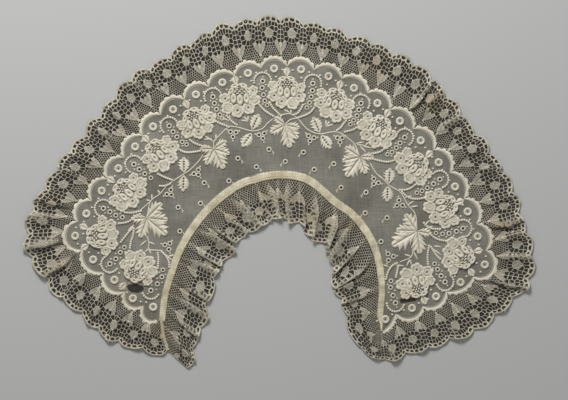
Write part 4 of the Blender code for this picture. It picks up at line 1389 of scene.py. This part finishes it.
def mesh_cell(seed, others, thread):
    """The hole round a seed: its share of the ground, less half a thread on each side."""
    cell = seed + CELL_REACH * np.array([(-1.0, -1.0), (1.0, -1.0), (1.0, 1.0), (-1.0, 1.0)])
    cell = clipped(cell, np.array([0.0, -1.0]), -HEADING_THREAD)
    for other in others:
        distance = np.linalg.norm(other - seed)
        if 0.0 < distance < 2.0 * CELL_REACH:
            normal = (other - seed) / distance
            cell = clipped(cell, normal, seed @ normal + (distance - thread) / 2.0)
    for x, y, half_length, half_width, degrees in CLOTH_STITCH:
        turn = math.radians(degrees)
        axes = np.array([(math.cos(turn), math.sin(turn)), (-math.sin(turn), math.cos(turn))])
        reach = np.array([half_length, half_width]) + OVAL_MARGIN
        outward = axes @ (seed - (x, y)) / reach
        normal = -(unit(outward) / reach) @ axes
        cell = clipped(cell, normal, normal @ (x, y) - 1.0)
    if seed[1] > PATTERN_START - 1.0:
        cell = clipped(cell, np.array([-1.0, 0.0]), -SEAM_THREAD / 2.0)
        cell = clipped(cell, np.array([1.0, 0.0]), REPEAT - SEAM_THREAD / 2.0)
        small = 0.2
        for x in np.clip(seed[0] + np.array(HEAD_CUTS), 2.0 * small, REPEAT - 2.0 * small):
            slope = (smooth_head(x + small) - smooth_head(x - small)) / (2.0 * small)
            normal = np.array([-slope, 1.0]) / math.hypot(slope, 1.0)
            cell = clipped(cell, normal, normal @ (x, smooth_head(x)) - EDGE_THREAD)
    return cell


def chart_seeds():
    """The middle of every hole of one repeat, with the width of its threads: x, y, width."""
    seeds = [(x, y, NET_THREAD) for _, _, x, y in net_places(0.5, 1.0)]
    for count, inset, thread in ((EDGE_HOLES, EDGE_HOLE_INSET, BORDER_THREAD),
                                 (SECOND_HOLES, SECOND_INSET, PATTERN_THREAD)):
        for number in range(count):
            x = REPEAT * (number + 0.5) / count
            seeds.append((x, smooth_head(x) - inset, thread))
    seeds += [(x, y, PATTERN_THREAD) for x, y in LARGE_HOLES]
    columns = int(REPEAT / PATTERN_PITCH[0])
    for number in range(PATTERN_ROWS * columns):
        row, column = divmod(number, columns)
        x = (column + 0.3 + 0.4 * (row % 2)) * REPEAT / columns
        x += PATTERN_JITTER * math.sin(7.3 * number)
        y = PATTERN_START + row * PATTERN_PITCH[1] + PATTERN_JITTER * math.sin(4.1 * number)
        crowded = any(seed[2] == PATTERN_THREAD
                      and math.hypot(seed[0] - x, seed[1] - y) < PATTERN_CLEARANCE
                      for seed in seeds)
        if not crowded and y < smooth_head(x) - SECOND_INSET - SECOND_CLEARANCE:
            seeds.append((x, y, PATTERN_THREAD))
    return [seed for seed in seeds if not in_cloth_stitch(seed[0], seed[1], SEED_MARGIN)]


def chart_holes(outline):
    """Every hole of one repeat of the lace: its middle and its corners.

    A hole that would meet the repeat's outline is made smaller, or else left out.
    """
    seeds = np.array(chart_seeds())
    spots = seeds[:, :2]
    others = np.vstack([spots, spots + (REPEAT, 0.0), spots - (REPEAT, 0.0)])
    holes = []
    for seed, thread in zip(spots, seeds[:, 2]):
        cell = mesh_cell(seed, others, thread)
        if len(cell) < 3:
            continue
        middle = cell.mean(axis=0)
        for share in (1.0, 0.85, 0.7, 0.55):
            corners = middle + (cell - middle) * share
            wider = middle + (cell - middle) * (share + 0.06)
            crossed = inside_loop(outline, wider).any()
            if not crossed and inside_loop(wider, outline).all():
                break
        else:
            continue
        following = np.roll(corners, -1, axis=0)
        turns = corners[:, 0] * following[:, 1] - corners[:, 1] * following[:, 0]
        if abs(turns.sum()) / 2.0 > SMALLEST_HOLE:
            holes.append((middle, corners))
    angles = np.linspace(0.0, 2.0 * math.pi, 5, endpoint=False)
    pin = PIN_HOLE * np.column_stack([np.cos(angles), np.sin(angles)])
    for x, y, half_length, half_width, degrees in CLOTH_STITCH:
        for row in range(-3, 4):
            for column in range(-4, 5):
                forward = (column + 0.5 * (row % 2)) * PIN_PITCH[0]
                sideways = row * PIN_PITCH[1]
                if math.hypot(forward / half_length, sideways / half_width) < PIN_SHARE:
                    place = np.array(placed((x, y), forward, sideways, math.radians(degrees)))
                    holes.append((place, place + pin))
    return holes


def lace_chart():
    """One repeat of the lace as a flat mesh.

    It returns the points, their marks, the triangles, and the points of the left and the right
    seam line. A point's marks are how far its lower side stands into a hole, in x and y, its
    relief and its tone.
    """
    seam = seam_line()
    heading = np.column_stack([np.linspace(0.0, REPEAT, 9)[1:-1], np.zeros(7)])
    across = np.linspace(0.0, REPEAT, 2 * PICOTS + 1)[1:-1]
    free = np.column_stack([across, head_edge(across)])
    outline = np.vstack([seam, free, (seam + (REPEAT, 0.0))[::-1], heading[::-1]])
    holes = chart_holes(outline)
    raised = []
    for row, column, x, y in net_places(1.0, 0.5):
        on_seam = column == (0 if row % 2 else NET_COLUMNS - 1)
        if not on_seam and not in_cloth_stitch(x, y, KNOT_MARGIN):
            raised.append((x, y, KNOT_RISE))
    for x, y, half_length, half_width, degrees in CLOTH_STITCH:
        for share, rise, corners in CLOTH_STITCH_RINGS:
            for angle in np.linspace(0.0, 2.0 * math.pi, corners, endpoint=False):
                place = placed((x, y), half_length * share * math.cos(angle),
                               half_width * share * math.sin(angle), math.radians(degrees))
                raised.append((*place, rise))
    raised += [(x, float(head_edge(x)) - 0.5, PICOT_RISE) for x in across[::2]]
    raised = np.array(raised)
    loops = [outline] + [corners for _, corners in holes]
    flat = np.vstack(loops + [raised[:, :2]])
    marks = np.zeros((len(flat), 4))
    feet = np.vstack([(middle - corners) * HOLE_FOOT for middle, corners in holes])
    marks[len(outline):len(outline) + len(feet), :2] = feet
    marks[len(seam):len(seam) + len(free), 2] = FREE_EDGE_RISE
    marks[len(outline) + len(feet):, 2] = raised[:, 2]
    marks[:, 3] = in_cloth_stitch(*flat.T, TONE_MARGIN)
    triangles = triangulate(flat, loop_edges(loops))
    middles = flat[triangles].mean(axis=1)
    keep = inside_loop(middles, outline)
    for _, corners in holes:
        keep &= ~inside_loop(middles, corners)
    left = np.arange(len(seam))
    right = len(seam) + len(free) + left[::-1]
    return flat, marks, triangles[keep], left, right


def lace_strip(chart, first, last):
    """Several repeats side by side, their seam points shared."""
    flat, marks, triangles, left, right = chart
    points = []
    faces = []
    before = None
    total = 0
    for number in range(first, last):
        index = total + np.arange(len(flat))
        if before is not None:
            index[left] = before[right]
        faces.append(index[triangles])
        points.append(flat + (number * REPEAT, 0.0))
        before = index
        total += len(flat)
    points = np.vstack(points)
    faces = np.vstack(faces)
    used, compact = np.unique(faces, return_inverse=True)
    return points[used], np.tile(marks, (last - first, 1))[used], compact.reshape(faces.shape)


def pleat_shape(places, across, pleats):
    """The lift of the pleats and their lean along the lace, at each point."""
    lift = np.zeros(len(places))
    lean = np.zeros(len(places))
    for centre, half_width, height, crest, reach in pleats:
        offset = np.minimum(np.abs(places - centre) / half_width, 1.0)
        rising = np.clip(across / crest, 0.0, 1.0) ** 0.8
        falling = 1.0 - (1.0 - FREE_EDGE_SHARE) * (across - crest) / max(1.0 - crest, 0.01)
        share = np.where(across <= crest, rising, falling) * (0.5 + 0.5 * np.cos(math.pi * offset))
        lift += height * share
        lean += reach * share
    return lift, lean


def beyond_muslin():
    """A function that gives how far points lie outside the muslin, and 0 inside it."""
    edge = scalloped_edge(EDGE_STEPS)
    tree = KDTree(len(edge))
    for number, (x, y) in enumerate(edge):
        tree.insert((x, y, 0.0), number)
    tree.balance()
    outline = np.vstack([edge, band_path(66)[::-1]])

    def distance(points):
        gaps = np.array([tree.find((x, y, 0.0))[2] for x, y in points])
        return np.where(inside_loop(points, outline), 0.0, gaps)

    return distance


def lace_surface(heading, free, places, repeats, pleats, evenness, beyond=None):
    """A function from (distance along, depth) on the flat lace to points in space.

    Evenness, from 0 to 1, spreads the repeats along the heading instead of the free edge. The
    lace stays low under the muslin and rises outside it, where beyond is given.
    """
    lift, lean = pleat_shape(places, np.full(len(places), MEASURED_ACROSS), pleats)
    width = free - heading
    line = heading + width * MEASURED_ACROSS + left_units(width) * lean[:, None]
    lengths = running_length(np.column_stack([line, lift]))
    gathered = running_length(heading)
    lengths = lengths * (1.0 - evenness) + gathered * (evenness * lengths[-1] / gathered[-1])
    total = repeats * REPEAT

    def surface(along, depth):
        place = np.interp(along / total * lengths[-1], lengths, places)
        inner = points_at(place, places, heading)
        width = points_at(place, places, free) - inner
        across = depth / FREE_DEPTH
        uneven = 1.0 + 0.022 * across * np.sin(along / 7.9 + 1.3 * np.sin(along / 23.0))
        lift, lean = pleat_shape(place, np.clip(across, 0.0, 1.0), pleats)
        lean = lean + 0.7 * across ** 2 * np.sin(along / 3.7 + 2.0 * np.sin(along / 17.0))
        spot = inner + width * (across * uneven)[:, None] + left_units(width) * lean[:, None]
        gather = GATHER_RISE * np.cos(2.0 * math.pi * along / GATHER_PITCH)
        gather = gather * np.exp(-depth / GATHER_FADE)
        wave = 0.35 * np.sin(along / 8.3) * np.sin(along / 13.7 + depth / 11.0)
        wave = wave + 0.30 * across ** 2 * np.sin(along / 2.1 + 2.0 * np.sin(along / 31.0))
        height = LACE_LEVEL + lift + 0.35 * across + np.clip(across * 6.0, 0.0, 1.0) * wave
        height = height + gather * np.clip(across * 20.0, 0.2, 1.0)
        if beyond:
            height = np.minimum(height, UNDER_MUSLIN + RISE_BEYOND_MUSLIN * beyond(spot))
        return np.column_stack([spot, height])

    return surface


def flat_area(points, triangles):
    """The area of flat triangles."""
    corners = points[triangles]
    first_side = corners[:, 1] - corners[:, 0]
    second_side = corners[:, 2] - corners[:, 0]
    turns = first_side[:, 0] * second_side[:, 1] - first_side[:, 1] * second_side[:, 0]
    return float(np.abs(turns).sum()) / 2.0


def build_lace(name, chart, first, last, surface, fold, finish):
    """One stretch of lace laid along its surface, with its flat area in square metres.

    The threads are wider below than above, so that a hole narrows downwards, and the walls
    of a hole carry painted shade, less of it where the lace stands high in a fold.
    """
    flat, marks, triangles = lace_strip(chart, first, last)
    feet, relief, tones = marks[:, :2], marks[:, 2], marks[:, 3]
    along, depth = flat.T
    small = 0.3
    ahead = surface(along + small, depth) - surface(along - small, depth)
    down = surface(along, depth + small) - surface(along, np.maximum(depth - small, 0.0))
    normals = np.cross(ahead, down)
    normals /= np.linalg.norm(normals, axis=1)[:, None]
    normals *= np.where(normals[:, 2] < 0.0, -1.0, 1.0)[:, None]
    above = surface(along, depth) + normals * (LACE_THICKNESS / 2.0 + relief)[:, None]
    below = surface(*(flat + feet).T) - normals * (LACE_THICKNESS / 2.0)
    corners = above[triangles]
    facing = np.cross(corners[:, 1] - corners[:, 0], corners[:, 2] - corners[:, 0])[:, 2]
    if np.sum(facing) < 0.0:
        triangles = triangles[:, ::-1]
    # Painted shade on the walls of the holes, lessened high in a fold
    filled = np.clip((above[:, 2] - fold[0]) / fold[1], 0.0, 1.0) * FOLD_FILL
    wall_shade = np.any(feet != 0.0, axis=1) * (1.0 - filled)
    points, faces, shades = thick_sheet(above, below, triangles, wall_shade)
    piece = make_piece(name, points, faces, finish, np.tile(tones, 2), shades)
    return piece, flat_area(flat + feet, triangles) * MM * MM


def outer_surface():
    """The surface of the lace round the fronts and the outer edge."""
    rows = [(-1.0, SEAM_TOP[0] - SEAM_HALF_GAP, SEAM_TOP[1])]
    valleys = np.array(VALLEYS)
    inward = -side_vectors(valleys) * HEADING_INSET
    rows += [(number, *point) for number, point in enumerate(valleys + inward)]
    rows.append((float(len(VALLEYS)), *OUTER_HEADING_END))
    places = np.linspace(-1.0, len(VALLEYS), 3000)
    heading = smooth_curve(rows, places)
    free = smooth_curve(OUTER_FREE_EDGE, places)
    return lace_surface(heading, free, places, OUTER_REPEATS, OUTER_PLEATS, 0.1, beyond_muslin())


def neck_surface():
    """The surface of the lace up the neck edge, from its cut tail at the seam."""
    path = band_path(BAND_STEPS)
    inner = path - side_vectors(path) * (band_widths(BAND_STEPS) - 0.4)[:, None]
    seam = between((SEAM_FOOT[0] + SEAM_HALF_GAP, SEAM_FOOT[1]),
                   (SEAM_TOP[0] + SEAM_HALF_GAP, SEAM_TOP[1]), np.linspace(0.0, 1.0, 21))
    heading = np.vstack([seam, inner])
    places = running_length(heading)
    even = np.linspace(0.0, places[-1], 2400)
    heading = points_at(even, places, heading)
    free = smooth_curve(NECK_FREE_EDGE, even)
    return lace_surface(heading, free, even, NECK_REPEATS, NECK_PLEATS, 0.6)


def build_seam(finish):
    """The rolled seam that joins the two ends of the lace at the left front point."""
    work = Needlework()
    work.ridge(through(photo_points(SEAM_ROUTE), 1.0), 1.7, 1.9, lift=-0.6)
    return work.finish("lace_end_seam", finish, "lace")


# Neck binding


def build_band(finish):
    """The binding: a strip folded over the neck edge, so that it has an upper and a lower side."""
    path = band_path(BAND_STEPS)
    widths = band_widths(BAND_STEPS)
    sides = side_vectors(path)
    step = np.arange(len(path))
    widths = widths + 0.22 * np.sin(step * 0.23) + 0.14 * np.sin(step * 0.61 + 1.0)
    puckers = 0.12 * np.sin(step * 1.9) + 0.20 * np.sin(step * 0.7) + 0.16 * np.sin(step * 0.31)
    columns = []
    for share, height in BAND_SECTION:
        moved = path - sides * (share * widths)[:, None]
        swell = puckers if height > 1.35 else np.zeros(len(path))
        columns.append(np.column_stack([moved, height + swell]))
    work = Needlework()
    work.swept(np.stack(columns, axis=1))
    return work.finish("neck_binding", finish, "band", floor_height)


def build_band_stitches(finish):
    """Small stitches along both sides of the binding, and the whipping that holds the lace."""
    work = Needlework()
    path = band_path(BAND_STEPS)
    widths = band_widths(BAND_STEPS)
    sides = side_vectors(path)
    for step in range(2, len(path) - 2):
        here = path[step]
        side = sides[step]
        along = np.array([side[1], -side[0]])
        work.swept(stitch(here - side * 0.25 - along * 0.3, here + side * 0.35 + along * 0.3,
                          0.16, 1.55, 1.25))
        edge = here - side * widths[step]
        work.swept(stitch(edge + side * 0.7 - along * 0.35, edge - side * 0.8 + along * 0.35,
                          0.2, 1.85, 0.95))
    return work.finish("binding_stitches", finish, "band", floor_height)


def stitch(start, end, half_width, from_height, to_height):
    """The rows of one short straight stitch between two points at their own heights."""
    start = np.array(start)
    end = np.array(end)
    along = end - start
    side = unit(np.array([-along[1], along[0]])) * half_width
    rows = []
    for share, rise in ((0.0, -0.1), (0.5, 0.2), (1.0, -0.1)):
        middle = start + along * share
        height = from_height + (to_height - from_height) * share + rise
        rows.append([(*(middle + side), height), (*middle, height + 0.25),
                     (*(middle - side), height)])
    return rows


# Floor, light and camera


def build_floor():
    """A plain pale floor."""
    mesh = bpy.data.meshes.new("floor")
    corners = [(-4.0, -4.0, 0.0), (4.0, -4.0, 0.0), (4.0, 4.0, 0.0), (-4.0, 4.0, 0.0)]
    mesh.from_pydata(corners, [], [(0, 1, 2, 3)])
    material, shader = plain_material("pale_floor", 0.95, 0.1)
    shader.inputs["Base Color"].default_value = (0.44, 0.44, 0.43, 1.0)
    mesh.materials.append(material)
    floor = add_object("floor", mesh)


def build_light():
    """Soft studio light: a large lamp beyond the collar's outer edge, and an even fill."""
    lamp = bpy.data.lights.new("key", "AREA")
    lamp.shape = "DISK"
    lamp.size = 0.55
    lamp.energy = 23.0
    key = add_object("key", lamp)
    key.location = (-0.3, 1.15, 0.9)
    track = key.constraints.new("TRACK_TO")
    track.target = add_object("aim", None)
    track.track_axis = "TRACK_NEGATIVE_Z"
    track.up_axis = "UP_Y"
    world = bpy.data.worlds.new("studio")
    world.use_nodes = True
    background = world.node_tree.nodes["Background"]
    background.inputs["Color"].default_value = (1.0, 1.0, 1.0, 1.0)
    background.inputs["Strength"].default_value = 0.36
    bpy.context.scene.world = world


def build_camera():
    """A long lens straight above the collar, as the photograph was taken."""
    height = 2.0
    camera = bpy.data.cameras.new("camera")
    camera.sensor_width = 36.0
    camera.lens = camera.sensor_width * height / (IMAGE_WIDTH * MM_PER_PIXEL * MM)
    camera.dof.use_dof = False
    view = add_object("camera", camera)
    x, y = from_photo(*IMAGE_MIDDLE)
    view.location = (x * MM, y * MM, height)
    bpy.context.scene.camera = view
    bpy.context.scene.view_settings.view_transform = "Standard"


def main():
    """Dress the whole collar."""
    build_camera()
    build_floor()
    build_light()
    # The muslin's shaded colour is painted shade, on the walls round its rips
    muslin = cloth_finish("sheer_muslin", (0.228, 0.220, 0.184), (0.142, 0.136, 0.110),
                          (0.27, 0.225, 0.14), 0.85, 0.15, patch=22.0, weave=0.55, slubs=0.2,
                          bump=0.14, shaded=(0.03, 0.028, 0.024))
    # The thread's toned colour is partly the cloth's grey showing through and partly painted shade
    # at feet and in grooves; its shaded colour is deeper painted shade, in eyelets and pits
    thread = cloth_finish("white_cotton", (0.68, 0.635, 0.52), (0.60, 0.555, 0.44),
                          (0.56, 0.45, 0.31), 0.62, 0.2, patch=30.0, grain=1500.0, mottle=0.2,
                          bump=0.5, toned=(0.20, 0.19, 0.155), shaded=(0.03, 0.028, 0.022))
    binding = cloth_finish("folded_muslin", (0.64, 0.59, 0.43), (0.46, 0.41, 0.275),
                           (0.42, 0.33, 0.19), 0.8, 0.2, patch=80.0, weave=0.5, slubs=0.2)
    # The lace's toned colour is that of its cloth stitch; its shaded colour is painted shade on
    # the walls of its holes
    net = cloth_finish("cotton_lace", (0.55, 0.51, 0.40), (0.43, 0.39, 0.29),
                       (0.40, 0.31, 0.17), 0.75, 0.15, patch=60.0, grain=900.0, speckle=0.34,
                       mottle=0.35, bump=0.8, toned=(0.37, 0.345, 0.275),
                       shaded=(0.022, 0.020, 0.016))

    sheet = build_muslin(muslin)
    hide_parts("muslin_panel")
    worked = [build_border(thread), build_flowers(thread), build_buds(thread),
              build_leaves(thread), build_wheels(thread), build_eyelets(thread),
              build_beads(thread), build_stems(thread)]
    band = build_band(binding)
    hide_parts("neck_band")
    build_band_stitches(binding)

    chart = lace_chart()
    outer = outer_surface()
    middle = OUTER_REPEATS // 2
    for name, first, last in (("outer_lace_left", 0, middle),
                              ("outer_lace_right", middle, OUTER_REPEATS)):
        piece, area = build_lace(name, chart, first, last, outer, OUTER_FOLD, net)
        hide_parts("outer_lace_frill")
    piece, area = build_lace("neck_lace", chart, 0, NECK_REPEATS, neck_surface(), NECK_FOLD, net)
    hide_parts("neck_lace_frill")
    build_seam(net)


main()
